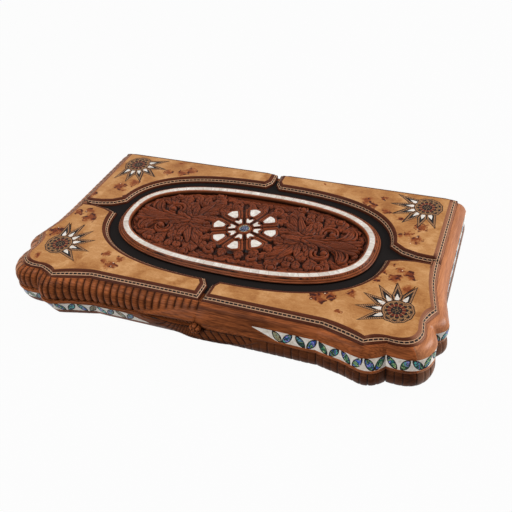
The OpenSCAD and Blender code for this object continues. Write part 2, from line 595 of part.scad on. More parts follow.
// The rows are written for a field of this half width and half depth, and stretch with it
carve_a = 144.4;
carve_b = 64.9;
function on_field(v) = [v.x * (med_a - field_in) / carve_a, v.y * (med_b - field_in) / carve_b];
function bend(p, t) = on_field((1 - t) * (1 - t) * p[0] + t * (1 - t) * (4 * p[1] - p[0] - p[2])
    + t * t * p[2]);
function bend_way(p, t) = unit(bend(p, t + 0.01) - bend(p, t - 0.01));
function leaf_side(p, t, k) = let (way = bend_way(p, t), w = k * p[3] * pow(sin(180 * pow(t, 0.9)), 0.6))
    bend(p, t) + w * [-way.y, way.x];
function leaf_plan(p, k) = concat([bend(p, 0)],
    [for (i = [1:leaf_steps - 1]) leaf_side(p, i / leaf_steps, k)],
    [bend(p, 1)], [for (i = [leaf_steps - 1:-1:1]) leaf_side(p, i / leaf_steps, -k)]);
module carved_leaf(p, crowned) {
    translate([0, 0, field_z]) linear_extrude(p[4]) polygon(leaf_plan(p, 1));
    if (crowned) translate([0, 0, field_z + p[4]]) linear_extrude(0.7) polygon(leaf_plan(p, 0.45));
}
// A scroll winds in towards its eye and narrows on the way
scroll_turns = 14;
function scroll_at(r, i, out) = let (t = i / scroll_turns, a = -120 - 400 * t)
    (r * pow(0.24, t) + out * 0.3 * r * (1 - 0.5 * t)) * [cos(a), sin(a)];
module scroll(place, r, h) {
    translate([on_field(place).x, on_field(place).y, field_z]) linear_extrude(h)
        polygon(concat([for (i = [0:scroll_turns]) scroll_at(r, i, 1)],
            [for (i = [scroll_turns:-1:0]) scroll_at(r, i, -1)]));
}
field_z = top_z - sunk_h;
module carved_quarter() {
    for (p = border_leaves) carved_leaf(p, false);
    for (p = outer_leaves) carved_leaf(p, true);
    for (p = long_leaves) carved_leaf(p, true);
    scroll([98, 22], 11.5, 4.2);
    scroll([25, 45], 6.5, 3.2);
    for (p = heart_leaves) carved_leaf(p, false);
}
module carved_leaves() {
    for (sx = [0, 1]) mirror([sx, 0, 0]) {
        for (sy = [0, 1]) mirror([0, sy, 0]) carved_quarter();
        for (p = axis_leaves) carved_leaf(p, true);
    }
}

// Rosette: a scalloped boss with petals and hearts of pearl round a domed cabochon
petals = 8;
rosette_top = top_z - 0.8;
rosette_seat = top_z - 2;
petal_r = 0.83 * rosette_r;
heart_r = 0.36 * rosette_r;
rosette_groove = 2;
module petal(h) {
    linear_extrude(h) polygon([[-6.2, -2.6], [-2, -5], [4.6, -6], [6, -3.4], [6.4, 0], [6, 3.4], [4.6, 6],
        [-2, 5], [-6.2, 2.6]]);
}
module heart(h) {
    linear_extrude(h) polygon([[-4.6, 0], [0.5, -4], [4, -4.2], [4.8, -2], [3.4, 0], [4.8, 2], [4, 4.2],
        [0.5, 4]]);
}
module rosette_inlays(h) {
    for (i = [0:petals - 1]) rotate([0, 0, 360 / petals * i]) {
        translate([petal_r, 0, 0]) petal(h);
        translate([heart_r, 0, 0]) heart(h);
    }
}
module rosette_base() {
    foot = top_z - sunk_h;
    difference() {
        union() {
            translate([0, 0, foot]) cylinder(r = rosette_r - 6, h = rosette_top - foot, $fn = 96);
            for (i = [0:petals - 1]) rotate([0, 0, 360 / petals * i]) translate([rosette_r - 10.5, 0, foot])
                cylinder(r = 10.5, h = rosette_top - foot, $fn = 48);
        }
        translate([0, 0, rosette_seat]) rosette_inlays(5);
        translate([0, 0, rosette_seat]) cylinder(r = 5.2 + fit, h = 5, $fn = 48);
        for (i = [0:petals - 1]) rotate([0, 0, 360 / petals * (i + 0.5)])
            translate([0.25 * rosette_r, -rosette_groove / 2, rosette_seat - 0.6])
                cube([rosette_r, rosette_groove, 5]);
    }
}
module cabochon() {
    translate([0, 0, rosette_seat]) rotate_extrude($fn = 48)
        polygon([[0, 0], [5.2, 0], [5.2, 0.8], [4.6, 1.5], [3, 1.95], [0, 2]]);
}
module bud() {
    translate([0, bud_y, bud_z]) rotate([90, 0, 0]) rotate_extrude($fn = 48)
        polygon([[0, 0], [bud_r, 0], [bud_r, 1.8], [bud_r - 0.8, 3.4], [bud_r - 1.6, 3.8],
            [bud_r - 1.4, 4.6], [bud_r * 0.5, bud_len - 0.5], [0, bud_len]]);
}

// Plates between the rails
module plate(x, y0, y1, z0, z1) translate([-x, y0, z0]) cube([2 * x, y1 - y0, z1 - z0]);
plate_x = in_x + rebate;
plate_y0 = in_front - rebate;
plate_y1 = in_back + rebate;

// Base
module base_bottom_panel() color(walnut) plate(plate_x, plate_y0, plate_y1, 0, ledge);
module base_front_rail() color(walnut) as_base() front_rail(base_top, top_z - bud_z, 0.4);
module base_back_rail() color(walnut) as_base() back_rail(base_top);
module base_left_rail() color(walnut) as_base() at_left_side(false);
module base_right_rail() color(walnut) as_base() at_left_side(true);
// Turning the base upside down swaps its left and right rails
module at_left_side(ribbed) {
    if (ribbed) left_rail(base_top);
    else right_rail(base_top);
}
module base_playing_field() color(felt_field) as_base() playing_field();
module base_points_light() color(beige) as_base() points(0);
module base_points_dark() color(dark_walnut) as_base() points(1);
module base_rack_divider() color(walnut) as_base() rack_divider();
module base_shell_band_front() color(pearl) as_base() shell_front();
module base_shell_band_side() color(pearl) as_base() shell_side();
module base_magnets() color(brass) as_base() magnets();
module hinge_leaves_base() color(brass) as_base() for (x = hinge_x) leaf_of(x, [0, 2, 4]);
module hinge_pins() color(brass) for (x = hinge_x) translate([x - hinge_len / 2 + 0.15, hinge_y, half_h])
    rotate([0, 90, 0]) cylinder(d = pin_d, h = hinge_len - 0.3, $fn = 48);
module hinge_screws_base() color(brass) as_base() hinge_screws();
module checkers_light() color(beige) checker_row(-1);
module checkers_dark() color(dark_walnut) checker_row(1);
module dice() color(beige) for (s = [-1, 1]) die(s * dice_x);

// Lid
leather_z = top_z - panel_h - leather_t;
module lid_top_panel() color(walnut) plate(plate_x, plate_y0, plate_y1, top_z - ledge, leather_z);
module leather_ground() color(black) plate(plate_x, plate_y0, plate_y1, leather_z, top_z - panel_h);
module lid_front_rail() color(walnut) front_rail(lid_top, bud_z, fit);
module lid_back_rail() color(walnut) back_rail(lid_top);
module lid_left_rail() color(walnut) left_rail(lid_top);
module lid_right_rail() color(walnut) right_rail(lid_top);
module lid_playing_field() color(felt_field) playing_field();
module lid_points_light() color(beige) points(0);
module lid_points_dark() color(dark_walnut) points(1);
module lid_rack_divider() color(walnut) rack_divider();
module lid_shell_band_front() color(pearl) shell_front();
module lid_shell_band_side() color(pearl) shell_side();
module lid_magnets() color(brass) magnets();
module hinge_leaves_lid() color(brass) for (x = hinge_x) leaf_of(x, [1, 3]);
module hinge_screws_lid() color(brass) hinge_screws();
module burl_panel_front_left() color(burl) at_left() right_panel(true);
module burl_panel_front_right() color(burl) right_panel(true);
module burl_panel_back_left() color(burl) at_left() right_panel(false);
module burl_panel_back_right() color(burl) right_panel(false);
module moulding_front_left() color(dark_walnut) at_left() moulding(true);
module moulding_front_right() color(dark_walnut) moulding(true);
module moulding_back_left() color(dark_walnut) at_left() moulding(false);
module moulding_back_right() color(dark_walnut) moulding(false);
module panel_banding() color(beige) {
    banding(true);
    banding(false);
    at_left() banding(true);
    at_left() banding(false);
}
module corner_star_front_left() color(dark_walnut) at_left() right_star(true);
module corner_star_front_right() color(dark_walnut) right_star(true);
module corner_star_back_left() color(dark_walnut) at_left() right_star(false);
module corner_star_back_right() color(dark_walnut) right_star(false);
module star_pearls() color(pearl) {
    translate(star_front) drops(spikes_front, top_z - inlay_t, inlay_t);
    translate(star_back) drops(spikes_back, top_z - inlay_t, inlay_t);
    at_left() translate(star_front) drops(spikes_front, top_z - inlay_t, inlay_t);
    at_left() translate(star_back) drops(spikes_back, top_z - inlay_t, inlay_t);
}
module medallion_frame() color(walnut) oval_ring(frame_side);
module pearl_ring() color(pearl) oval_ring(pearl_side);
module carved_plaque() color(walnut) {
    plaque_ground();
    carved_leaves();
}
module rosette_frame() color(walnut) rosette_base();
module rosette_pearls() color(pearl) translate([0, 0, rosette_seat]) rosette_inlays(1.4);
module abalone_cabochon() color(abalone) cabochon();
module thumb_bud() color(walnut) bud();

base_bottom_panel();
base_front_rail();
base_back_rail();
base_left_rail();
base_right_rail();
base_playing_field();
base_points_light();
base_points_dark();
base_rack_divider();
base_shell_band_front();
base_shell_band_side();
base_magnets();
hinge_leaves_base();
hinge_pins();
hinge_screws_base();
checkers_light();
checkers_dark();
dice();
lid_top_panel();
lid_front_rail();
lid_back_rail();
lid_left_rail();
lid_right_rail();
lid_playing_field();
lid_points_light();
lid_points_dark();
lid_rack_divider();
lid_shell_band_front();
lid_shell_band_side();
lid_magnets();
hinge_leaves_lid();
hinge_screws_lid();
leather_ground();
burl_panel_front_left();
burl_panel_front_right();
burl_panel_back_left();
burl_panel_back_right();
moulding_front_left();
moulding_front_right();
moulding_back_left();
moulding_back_right();
panel_banding();
corner_star_front_left();
corner_star_front_right();
corner_star_back_left();
corner_star_back_right();
star_pearls();
medallion_frame();
pearl_ring();
carved_plaque();
rosette_frame();
rosette_pearls();
abalone_cabochon();
thumb_bud();
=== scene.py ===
"""Folding backgammon case: dresses the CAD frame with carved rails, burl, shell and leather.

Lengths are in millimetres until a mesh is made. The sections of rails, mouldings and the medallion's frame
give their heights from the top of the burl.
"""
import json
import math
import bmesh
import bpy
import numpy as np
from mathutils import Euler, Matrix, Vector


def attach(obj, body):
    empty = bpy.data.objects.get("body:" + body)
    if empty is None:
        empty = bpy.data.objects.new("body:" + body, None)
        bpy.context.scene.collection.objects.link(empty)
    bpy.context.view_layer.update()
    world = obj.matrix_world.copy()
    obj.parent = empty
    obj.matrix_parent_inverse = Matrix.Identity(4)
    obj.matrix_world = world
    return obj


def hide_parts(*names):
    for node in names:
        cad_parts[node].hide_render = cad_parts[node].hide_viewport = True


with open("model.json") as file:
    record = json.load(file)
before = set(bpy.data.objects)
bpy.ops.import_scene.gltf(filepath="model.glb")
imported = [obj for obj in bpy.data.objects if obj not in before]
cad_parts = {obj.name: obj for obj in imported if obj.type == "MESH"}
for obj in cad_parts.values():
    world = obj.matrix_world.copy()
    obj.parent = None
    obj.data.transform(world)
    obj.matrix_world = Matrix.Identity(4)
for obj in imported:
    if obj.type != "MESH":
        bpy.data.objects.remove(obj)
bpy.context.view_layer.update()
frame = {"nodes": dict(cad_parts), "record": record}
MM = 0.001
MERGED = 1e-7  # points nearer than this, in metres, become one

# Driving sizes of the frame
HALF_W, HALF_D = 217.0, 117.0  # half sizes of the burl field
TOP_Z, PART_Z = 61.0, 30.5  # top of the burl, parting plane
BULGE, RAIL_IN = 20.6, 12.0  # reach of the rails outside and inside the burl's edge
PARTING_GAP = 0.3
HINGE_Y = HALF_D + 2
BACK_Y = HINGE_Y - PARTING_GAP / 2
IN_X, IN_FRONT = HALF_W - RAIL_IN, -HALF_D + RAIL_IN - 1  # inner faces of the rails
REBATE, LEDGE = 6.0, 12.0
EDGE_W, EDGE_DROP, PANEL_H, INNER_W = 9.0, 4.6, 6.5, 7.0  # mouldings along the rails and along the leather
LIP_H, BAND_H, BAND_T, BAND_START = 4.3, 11.7, 0.8, 61.0
RIB_PITCH, LOBE_PITCH, RIB_DEPTH = 8.8, 8.0, 3.3
LEAF_LEN, LEAF_SWELL = 77.0, 3.0
BAND_TOP = PART_Z - LIP_H - BAND_H
MED_A, MED_B, MED_N = 159.5, 80.0, 2.5  # medallion: half sizes and squareness
FRAME_OUT, PEARL_W, FRAME_IN = 6.5, 6.0, 2.6  # its outer frame, pearl ring and inner rim
RIM = PARTING_GAP / 2 - PART_Z  # height of the lid's rim
WIDEST, FOREMOST = 251.1, -150.75  # reach of the rails to the sides and the front


def step_up(x, lo, hi):
    """A soft step from 0 at lo to 1 at hi."""
    t = np.clip((x - lo) / (hi - lo), 0, 1)
    return t * t * (3 - 2 * t)


def ridge(distance, middle, width):
    return np.exp(-((distance - middle) / width) ** 2)


def path_length(points):
    """Length along a line up to each of its points."""
    return np.concatenate([[0], np.cumsum(np.linalg.norm(np.diff(points, axis=0), axis=1))])


def smooth_line(points, n):
    """n points of a smooth line through a few points."""
    p = np.array([points[0]] + list(points) + [points[-1]], float)
    t = np.linspace(0, len(points) - 1 - 1e-9, n)
    i = t.astype(int)
    u = (t - i)[:, None]
    a, b, c, d = p[i], p[i + 1], p[i + 2], p[i + 3]
    return 0.5 * (2 * b + (c - a) * u + (2 * a - 5 * b + 4 * c - d) * u ** 2 + (3 * b - a - 3 * c + d) * u ** 3)


def spline(points, n):
    """A smooth line through a few points, as n + 1 evenly spaced points."""
    line = smooth_line(points, 40 * len(points))
    s = path_length(line)
    at = np.linspace(0, s[-1], n + 1)
    return np.stack([np.interp(at, s, line[:, 0]), np.interp(at, s, line[:, 1])], 1)


# The serpentine outline
def from_corner(x, y, kx, ky):
    """A point of the burl's edge, from its corner, and the way the rail swells there, in parts of the bulge."""
    return np.array([HALF_W + x, y - HALF_D, kx, ky])


MID_FRONT = np.array([0, -HALF_D, 0, -1.03])
SIDE_MID = np.array([HALF_W + 0.8, 0, 1.03, 0])
SIDE_BACK = np.array([HALF_W - 0.4, BACK_Y, 0.95, 0])
WHOLE, HALVES = (0, 1), (0, 0.5, 1)
# Half of the outline, stretch by stretch: pull of its curve, end, pitch of its ribs, and where it is creased
STRETCHES = [
    (None, from_corner(-86, 0, 0, -1.03), RIB_PITCH, WHOLE),
    (from_corner(-59.5, -3, -0.14, -1.46), from_corner(-38.4, -12.7, 0.02, -0.985), RIB_PITCH, WHOLE),
    (from_corner(-30.4, -5.8, 0.23, -1.23), from_corner(-18.3, -5.6, 0.14, -0.67), RIB_PITCH, WHOLE),
    (from_corner(8, -7.7, 0.78, -0.985), from_corner(8.3, 11, 0.93, -0.32), LOBE_PITCH, HALVES),
    (from_corner(6.7, 18.6, 0.985, -0.13), from_corner(6.8, 25.1, 0.76, -0.05), RIB_PITCH, WHOLE),
    (from_corner(6.6, 38.3, 1.28, -0.45), from_corner(14, 45.1, 0.95, -0.335), RIB_PITCH, WHOLE),
    (from_corner(9, 60.8, 1.02, -0.456), from_corner(4.3, 81.4, 0.956, -0.31), RIB_PITCH, WHOLE),
    (from_corner(1.3, 98.3, 1.03, -0.21), SIDE_MID, RIB_PITCH, WHOLE),
    (None, SIDE_BACK, RIB_PITCH, WHOLE)]
FLAT_END, CORNER, SIDE_FLAT = 1, 4, 9  # numbers of the creases where the flat front ends, at the mitre and at the side


def stretch(a, c, b, lo, hi, n=20):
    """Rows along a straight stretch, or along a curved one with pull c."""
    t = np.linspace(lo, hi, n + 1)[:, None]
    if c is None:
        return (1 - t) * a + t * b
    return (1 - t) ** 2 * a + 2 * t * (1 - t) * c + t * t * b


class Outline:
    """Half of the rail's outline, from the middle of the front to the hinge side, by the length of its crest."""

    def __init__(self):
        rows, turns, breaks, count, start = [], [], [0], 0, MID_FRONT
        for pull, end, pitch, cuts in STRETCHES:
            for lo, hi in zip(cuts, cuts[1:]):
                part = stretch(start, pull, end, lo, hi)
                crest = part[:, :2] + BULGE * part[:, 2:]
                ribs = max(1, round(np.linalg.norm(crest[-1] - crest[0]) / pitch))
                keep = slice(1 if rows else 0, None)
                rows.append(part[keep])
                turns.append((count + ribs * np.linspace(0, 1, len(part)))[keep])
                count += ribs
                breaks.append(sum(map(len, rows)) - 1)
            start = end
        self.rows, self.turns = np.concatenate(rows), np.concatenate(turns)
        self.s = path_length(self.rows[:, :2] + BULGE * self.rows[:, 2:])
        self.breaks = self.s[breaks]
        self.corner, self.end = self.breaks[CORNER], self.s[-1]

    def at(self, s):
        """Row and rib count at path lengths s; a negative length is the left half."""
        a, side = np.abs(s), np.where(s < 0, -1.0, 1.0)
        r = np.stack([np.interp(a, self.s, self.rows[:, i]) for i in range(4)], 1)
        r[:, [0, 2]] *= side[:, None]
        return r, np.interp(a, self.s, self.turns)

    def stations(self, lo, hi, step):
        """Path lengths from lo to hi with every crease among them."""
        marks = [round(m, 6) for m in np.concatenate([-self.breaks, self.breaks]) if lo < m < hi]
        marks = sorted(set([lo, hi] + marks))
        out = [np.linspace(a, b, max(1, math.ceil((b - a) / step)) + 1)[:-1] for a, b in zip(marks, marks[1:])]
        return np.concatenate(out + [[hi]])


outline = Outline()

# How far the rail really swells along its length, and how much further out the shell band's lower edge stands
SWELL_AT = [0, 100, 118, 130, 142, 150, 159, 166, 173, 180, 187, 193, 200, 208, 222, 245]
SWELL = [1, 1, 1.04, 1.0, 0.82, 0.73, 0.67, 0.72, 0.82, 0.96, 1.12, 1.22, 1.27, 1.22, 1.08, 1.0]
LEAN_AT = [0, 130, 159, 173, 182, 192, 225, 250, 272, 340, 380, 503]
LEAN = [2.7, 2.7, 2.0, 2.8, 4.0, 4.6, 4.0, 1.5, -0.9, -0.7, 0.2, 0.4]


def drawn_in(out, s):
    """How far a point of the rail really stands out: less over the brow, more at the start of the lobe."""
    share = np.interp(np.abs(s), SWELL_AT, SWELL)
    return np.where(out > EDGE_W, EDGE_W + (out - EDGE_W) * share, out)


def leaned(out, z, s):
    """The smooth rail's shape leans out from its upper swell to the lower edge of the band."""
    above = np.clip((out - EDGE_W) / (BULGE - EDGE_W), 0, 1)
    share = np.where(-z < BAND_TOP, above, 1 - np.clip((-z - BAND_TOP) / BAND_H, 0, 1))
    tucked = 1.3 * step_up(np.abs(s), 255, 280) * (-z > BAND_TOP + BAND_H + 0.08)
    return out - np.interp(np.abs(s), LEAN_AT, LEAN) * share - tucked


def in_box(points):
    """Points kept within the frame's greatest width and depth."""
    points[..., 0] = np.clip(points[..., 0], -WIDEST, WIDEST)
    points[..., 1] = np.maximum(points[..., 1], FOREMOST)
    return points


def on_side(points, side):
    """A shape of the right half, mirrored where it is wanted on the left."""
    return points * np.array([1 if side == "right" else -1, 1, 1])


def on_body(points, body):
    """The base's rails and bands are the lid's turned over about the middle of the hinge side."""
    if body == "lid":
        return points
    return np.stack([-points[..., 0], points[..., 1], TOP_Z - points[..., 2]], -1)


# Meshes
def finish_piece(bm, name, body, materials, smooth=True, replaces=()):
    """Makes a bmesh a named piece of a body, in place of the nodes that it replaces."""
    mesh = bpy.data.meshes.new(name)
    bm.to_mesh(mesh)
    bm.free()
    mesh.polygons.foreach_set("use_smooth", [smooth] * len(mesh.polygons))
    for finish in materials if isinstance(materials, list) else [materials]:
        mesh.materials.append(finish)
    piece = bpy.data.objects.new(name, mesh)
    bpy.context.scene.collection.objects.link(piece)
    if replaces:
        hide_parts(*replaces)
    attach(piece, body)


def skin(points, uv=None, painted_light=None, closed=False, ring=False, capped=False):
    """A grid laid over points[station, column].

    closed joins the last column to the first, ring merges the last station with the first where they are the same,
    and capped fills what is still open.
    """
    if closed:
        points = np.concatenate([points, points[:, :1]], 1)
        painted_light = None if painted_light is None else np.concatenate([painted_light, painted_light[:, :1]], 1)
    rows, cols = points.shape[:2]
    bm = bmesh.new()
    layer = bm.loops.layers.uv.new("pattern") if uv is not None else None
    bmesh.ops.create_grid(bm, x_segments=rows - 1, y_segments=cols - 1, size=1)
    for vert, place in zip(bm.verts, points.transpose(1, 0, 2).reshape(-1, 3) * MM):
        vert.co = place
    # Each point's share of painted light: painted shade in recesses and shaded parts, painted sheen on the mouldings'
    # side faces
    if painted_light is not None:
        depth = bm.verts.layers.float.new("painted_light")
        for vert, value in zip(bm.verts, painted_light.T.ravel()):
            vert[depth] = value
    if uv is not None:
        flat_uv = uv.transpose(1, 0, 2).reshape(-1, 2)
        for face in bm.faces:
            for loop in face.loops:
                loop[layer].uv = flat_uv[loop.vert.index]
    if closed or ring:
        bmesh.ops.remove_doubles(bm, verts=bm.verts, dist=MERGED)
    if capped:
        bmesh.ops.holes_fill(bm, edges=[e for e in bm.edges if e.is_boundary], sides=0)
    bmesh.ops.recalc_face_normals(bm, faces=bm.faces)
    return bm


def pattern_uv(along, across):
    """Pattern coordinates of a grid: millimetres along it, and 0 to 1 across it."""
    return np.stack(np.broadcast_arrays(along[:, None], across[None, :]), -1)


def join(pieces):
    """One bmesh of several, each with its finish number."""
    whole = bmesh.new()
    for bm, finish in pieces:
        for face in bm.faces:
            face.material_index = finish
        part = bpy.data.meshes.new("part")
        bm.to_mesh(part)
        bm.free()
        whole.from_mesh(part)
        bpy.data.meshes.remove(part)
    return whole


# Shader nodes
FLOAT, VECTOR, COLOUR = "NodeSocketFloat", "NodeSocketVector", "NodeSocketColor"


def feed(tree, to, values):
    """Links or sets the inputs of a node, by name or number."""
    for key, value in values.items():
        if isinstance(value, bpy.types.NodeSocket):
            tree.links.new(value, to.inputs[key])
        else:
            to.inputs[key].default_value = value
    return to


def node(tree, kind, inputs=None, **props):
    n = tree.nodes.new("ShaderNode" + kind)
    for key, value in props.items():
        setattr(n, key, value)
    return feed(tree, n, inputs or {})


def group(name, inputs, outputs):
    """A shader node group with named inputs and outputs, each with its socket type."""
    tree = bpy.data.node_groups.new(name, "ShaderNodeTree")
    for way, sockets in (("INPUT", inputs), ("OUTPUT", outputs)):
        for key, kind in sockets.items():
            tree.interface.new_socket(key, in_out=way, socket_type=kind)
    return tree, tree.nodes.new("NodeGroupInput").outputs, tree.nodes.new("NodeGroupOutput")


def rgb(*colour):
    """An sRGB colour of 0 to 255 as a linear shader colour."""
    return tuple(c / 255 / 12.92 if c <= 10 else ((c / 255 + 0.055) / 1.055) ** 2.4 for c in colour) + (1,)


def mix(tree, factor, a, b, blend="MIX"):
    """Mixes two colours, each a socket, a shader colour or three sRGB numbers."""
    a, b = (rgb(*c) if isinstance(c, tuple) and len(c) == 3 else c for c in (a, b))
    return node(tree, "Mix", {0: factor, 6: a, 7: b}, data_type="RGBA", blend_type=blend).outputs[2]


def ramp(tree, value, stops):
    """A colour ramp whose stops are a place and three sRGB numbers."""
    n = node(tree, "ValToRGB", {0: value})
    for _ in stops[2:]:
        n.color_ramp.elements.new(0.5)
    for element, (at, *colour) in zip(n.color_ramp.elements, stops):
        element.position, element.color = at, rgb(*colour)
    return n.outputs[0]


def calc(tree, how, *values):
    return node(tree, "Math", dict(enumerate(values)), operation=how).outputs[0]


def calc_vector(tree, how, *values):
    return node(tree, "VectorMath", dict(enumerate(values)), operation=how).outputs[0]


def times(tree, a, b):
    return calc(tree, "MULTIPLY", a, b)


def span(tree, value, lo, hi, to_lo=0.0, to_hi=1.0):
    """Maps lo to to_lo and hi to to_hi, and stays within them."""
    limits = {"Value": value, "From Min": lo, "From Max": hi, "To Min": to_lo, "To Max": to_hi}
    return node(tree, "MapRange", limits).outputs[0]


def stripe(tree, value, lo, hi, soft=0.02):
    """1 between lo and hi, 0 outside."""
    return times(tree, span(tree, value, lo - soft, lo + soft), span(tree, value, hi - soft, hi + soft, 1.0, 0.0))


def every(tree, value, pitch):
    """Share of the pitch that has passed at a value."""
    return calc(tree, "FRACT", calc(tree, "DIVIDE", value, pitch))


def object_place(tree):
    return node(tree, "TexCoord").outputs["Object"]


def millimetres(tree):
    return node(tree, "VectorMath", {0: object_place(tree), "Scale": 1 / MM}, operation="SCALE").outputs[0]


def noise(tree, vector, scale, detail=3.0, distortion=0.0):
    inputs = {"Vector": vector, "Scale": scale, "Detail": detail, "Distortion": distortion}
    return node(tree, "TexNoise", inputs).outputs


def cells(tree, vector, scale):
    """Distance to the nearest of many scattered spots, in parts of their spacing."""
    return node(tree, "TexVoronoi", {"Vector": vector, "Scale": scale}).outputs["Distance"]


def pattern(tree):
    """The pattern coordinates of a piece: millimetres along it, and 0 to 1 across it."""
    uv = node(tree, "UVMap", uv_map="pattern")
    return node(tree, "SeparateXYZ", {"Vector": uv.outputs[0]}).outputs


def bump(tree, height, strength):
    return node(tree, "Bump", {"Height": height, "Strength": strength, "Distance": 0.0002}).outputs[0]


def bare_tree(owner):
    """The emptied node tree of a material or a world."""
    owner.use_nodes = True
    owner.node_tree.nodes.clear()
    return owner.node_tree


def material(name):
    mat = bpy.data.materials.new(name)
    tree = bare_tree(mat)
    shader = node(tree, "BsdfPrincipled")
    node(tree, "OutputMaterial", {0: shader.outputs[0]})
    return mat, tree, shader


# Finishes
def wood_grain_group():
    tree, src, out = group("wood grain", {"Vector": VECTOR, "Light": COLOUR, "Dark": COLOUR, "Figure": FLOAT},
                           {"Color": COLOUR, "Roughness": FLOAT, "Height": FLOAT})
    broad = noise(tree, calc_vector(tree, "MULTIPLY", src["Vector"], (9, 90, 90)), 1.0, 3.0, 0.6)[0]
    fine = noise(tree, calc_vector(tree, "MULTIPLY", src["Vector"], (60, 900, 900)), 1.0, 4.0)[0]
    figured = times(tree, span(tree, calc(tree, "ADD", broad, fine), 0.75, 1.25), src["Figure"])
    feed(tree, out, {"Color": mix(tree, figured, src["Light"], src["Dark"]),
                     "Roughness": span(tree, fine, 0.0, 1.0, 0.42, 0.58), "Height": fine})
    return tree


def burr_group():
    """One burr of the burl: its mask is 1 in the middle and 0 from its radius on."""
    tree, src, out = group("burr", {"Vector": VECTOR, "X": FLOAT, "Y": FLOAT, "Radius": FLOAT, "Others": FLOAT},
                           {"Mask": FLOAT})
    place = node(tree, "CombineXYZ", {"X": src["X"], "Y": src["Y"]}).outputs[0]
    far = node(tree, "VectorMath", {0: src["Vector"], 1: place}, operation="DISTANCE").outputs["Value"]
    mask = span(tree, calc(tree, "DIVIDE", far, src["Radius"]), 1.0, 0.25)
    feed(tree, out, {"Mask": calc(tree, "MAXIMUM", mask, src["Others"])})
    return tree


WOOD_GRAIN, BURR = wood_grain_group(), burr_group()


def wood(name, light, dark, figure=0.6, turn=0.0, coat=0.03, painted_light=None, polish=0.8, shine=0.11):
    """Figured wood, turned about z; painted_light is the colour mixed in by each point's painted_light value: painted
    shade on the carvings, a painted sheen on the mouldings.
    """
    mat, tree, shader = material(name)
    place = node(tree, "Mapping", {"Vector": object_place(tree), "Rotation": (0, 0, turn)}).outputs[0]
    grain = node(tree, "Group", {"Vector": place, "Light": rgb(*light), "Dark": rgb(*dark), "Figure": figure},
                 node_tree=WOOD_GRAIN).outputs
    colour = grain["Color"]
    # Mixes in the painted light colour by each point's share: painted shade on the carvings, painted sheen on the
    # mouldings
    if painted_light:
        colour = mix(tree, node(tree, "Attribute", attribute_name="painted_light").outputs["Fac"], colour, painted_light)
    feed(tree, shader, {"Base Color": colour, "Roughness": times(tree, grain["Roughness"], polish),
                        "Specular IOR Level": shine, "Coat Weight": coat, "Coat Roughness": 0.3,
                        "Normal": bump(tree, grain["Height"], 0.25)})
    return mat


def metal(name, colour, roughness):
    mat, tree, shader = material(name)
    wear = noise(tree, object_place(tree), 300.0, 4.0)[0]
    bright = rgb(*colour)
    dull = tuple(c * 0.75 for c in bright[:3]) + (1,)
    feed(tree, shader, {"Base Color": mix(tree, wear, dull, bright), "Metallic": 1.0,
                        "Roughness": span(tree, wear, 0.0, 1.0, roughness - 0.1, roughness + 0.1),
                        "Normal": bump(tree, wear, 0.1)})
    return mat


# Middle and radius of each burr of the burl
BURRS = [
    (123, 91, 10), (133, 83, 7), (141, 100, 4), (150, 74, 7), (170, 64, 5), (195, 54, 10), (184, 39, 6), (194, 31, 9),
    (176, 34, 4), (182, -18, 4), (190, -25, 6), (199, -28, 7), (203, -35, 5), (174, -33, 4), (187, -39, 9),
    (168, -46, 6), (204, -54, 9), (150, -75, 7), (118, -88, 11), (130, -84, 9), (124, -93, 6), (145, -104, 4),
    (-116, 97, 10), (-126, 90, 9), (-145, 87, 8), (-137, 112, 4), (-178, 53, 9), (-192, 41, 10), (-184, 34, 4),
    (-218, 16, 8), (-200, -17, 7), (-213, -24, 7), (-193, -31, 11), (-219, -66, 12), (-135, -87, 7), (-114, -93, 7),
    (-131, -101, 5), (-120, -105, 10), (-213, -112, 6), (64, 112, 3), (-172, 22, 5)]


def burl():
    """Pale cloudy veneer with clusters of dark burrs."""
    mat, tree, shader = material("burl")
    flat = calc_vector(tree, "MULTIPLY", millimetres(tree), (1, 1, 0))
    drift = noise(tree, flat, 0.16, 3.0)["Color"]
    bent = calc_vector(tree, "ADD", flat, calc_vector(tree, "MULTIPLY_ADD", drift, (13, 13, 0), (-6.5, -6.5, 0)))
    mask = 0.0
    for x, y, radius in BURRS:
        burr = {"Vector": bent, "X": x, "Y": y, "Radius": radius, "Others": mask}
        mask = node(tree, "Group", burr, node_tree=BURR).outputs["Mask"]
    clouds = noise(tree, bent, 0.028, 4.0, 1.0)[0]
    flecks = noise(tree, flat, 0.3, 6.0, 1.5)[0]
    fibres = noise(tree, calc_vector(tree, "MULTIPLY", bent, (0.05, 0.55, 1)), 1.0, 4.0, 0.8)[0]
    tone = calc(tree, "ADD", clouds, span(tree, flecks, 0.0, 1.0, -0.14, 0.14))
    tone = calc(tree, "ADD", tone, span(tree, fibres, 0.0, 1.0, -0.2, 0.2))
    colour = ramp(tree, tone, [(0.3, 150, 96, 52), (0.46, 172, 118, 68), (0.58, 184, 132, 82), (0.72, 202, 152, 102)])
    spots = cells(tree, bent, 0.19)
    ragged = calc(tree, "ADD", mask, span(tree, flecks, 0.2, 0.8, -0.5, 0.5))
    near = span(tree, mask, 0.1, 0.32)
    for a, b, stain in ((span(tree, ragged, 0.1, 0.75), span(tree, mask, 0.0, 0.25), (150, 84, 40)),
                        (span(tree, ragged, 0.55, 0.95), 0.8, (112, 50, 22)),
                        (span(tree, spots, 0.52, 0.4), near, (104, 44, 20)),
                        (span(tree, spots, 0.36, 0.26), near, (52, 18, 10)),
                        (span(tree, cells(tree, flat, 0.13), 0.12, 0.08), near, (222, 188, 156))):
        colour = mix(tree, times(tree, a, b), colour, stain)
    feed(tree, shader, {"Base Color": colour, "Roughness": span(tree, flecks, 0.2, 0.8, 0.3, 0.42),
                        "Specular IOR Level": 0.1, "Normal": bump(tree, flecks, 0.08)})
    return mat


TILE = 11.0  # length of a pearl tile


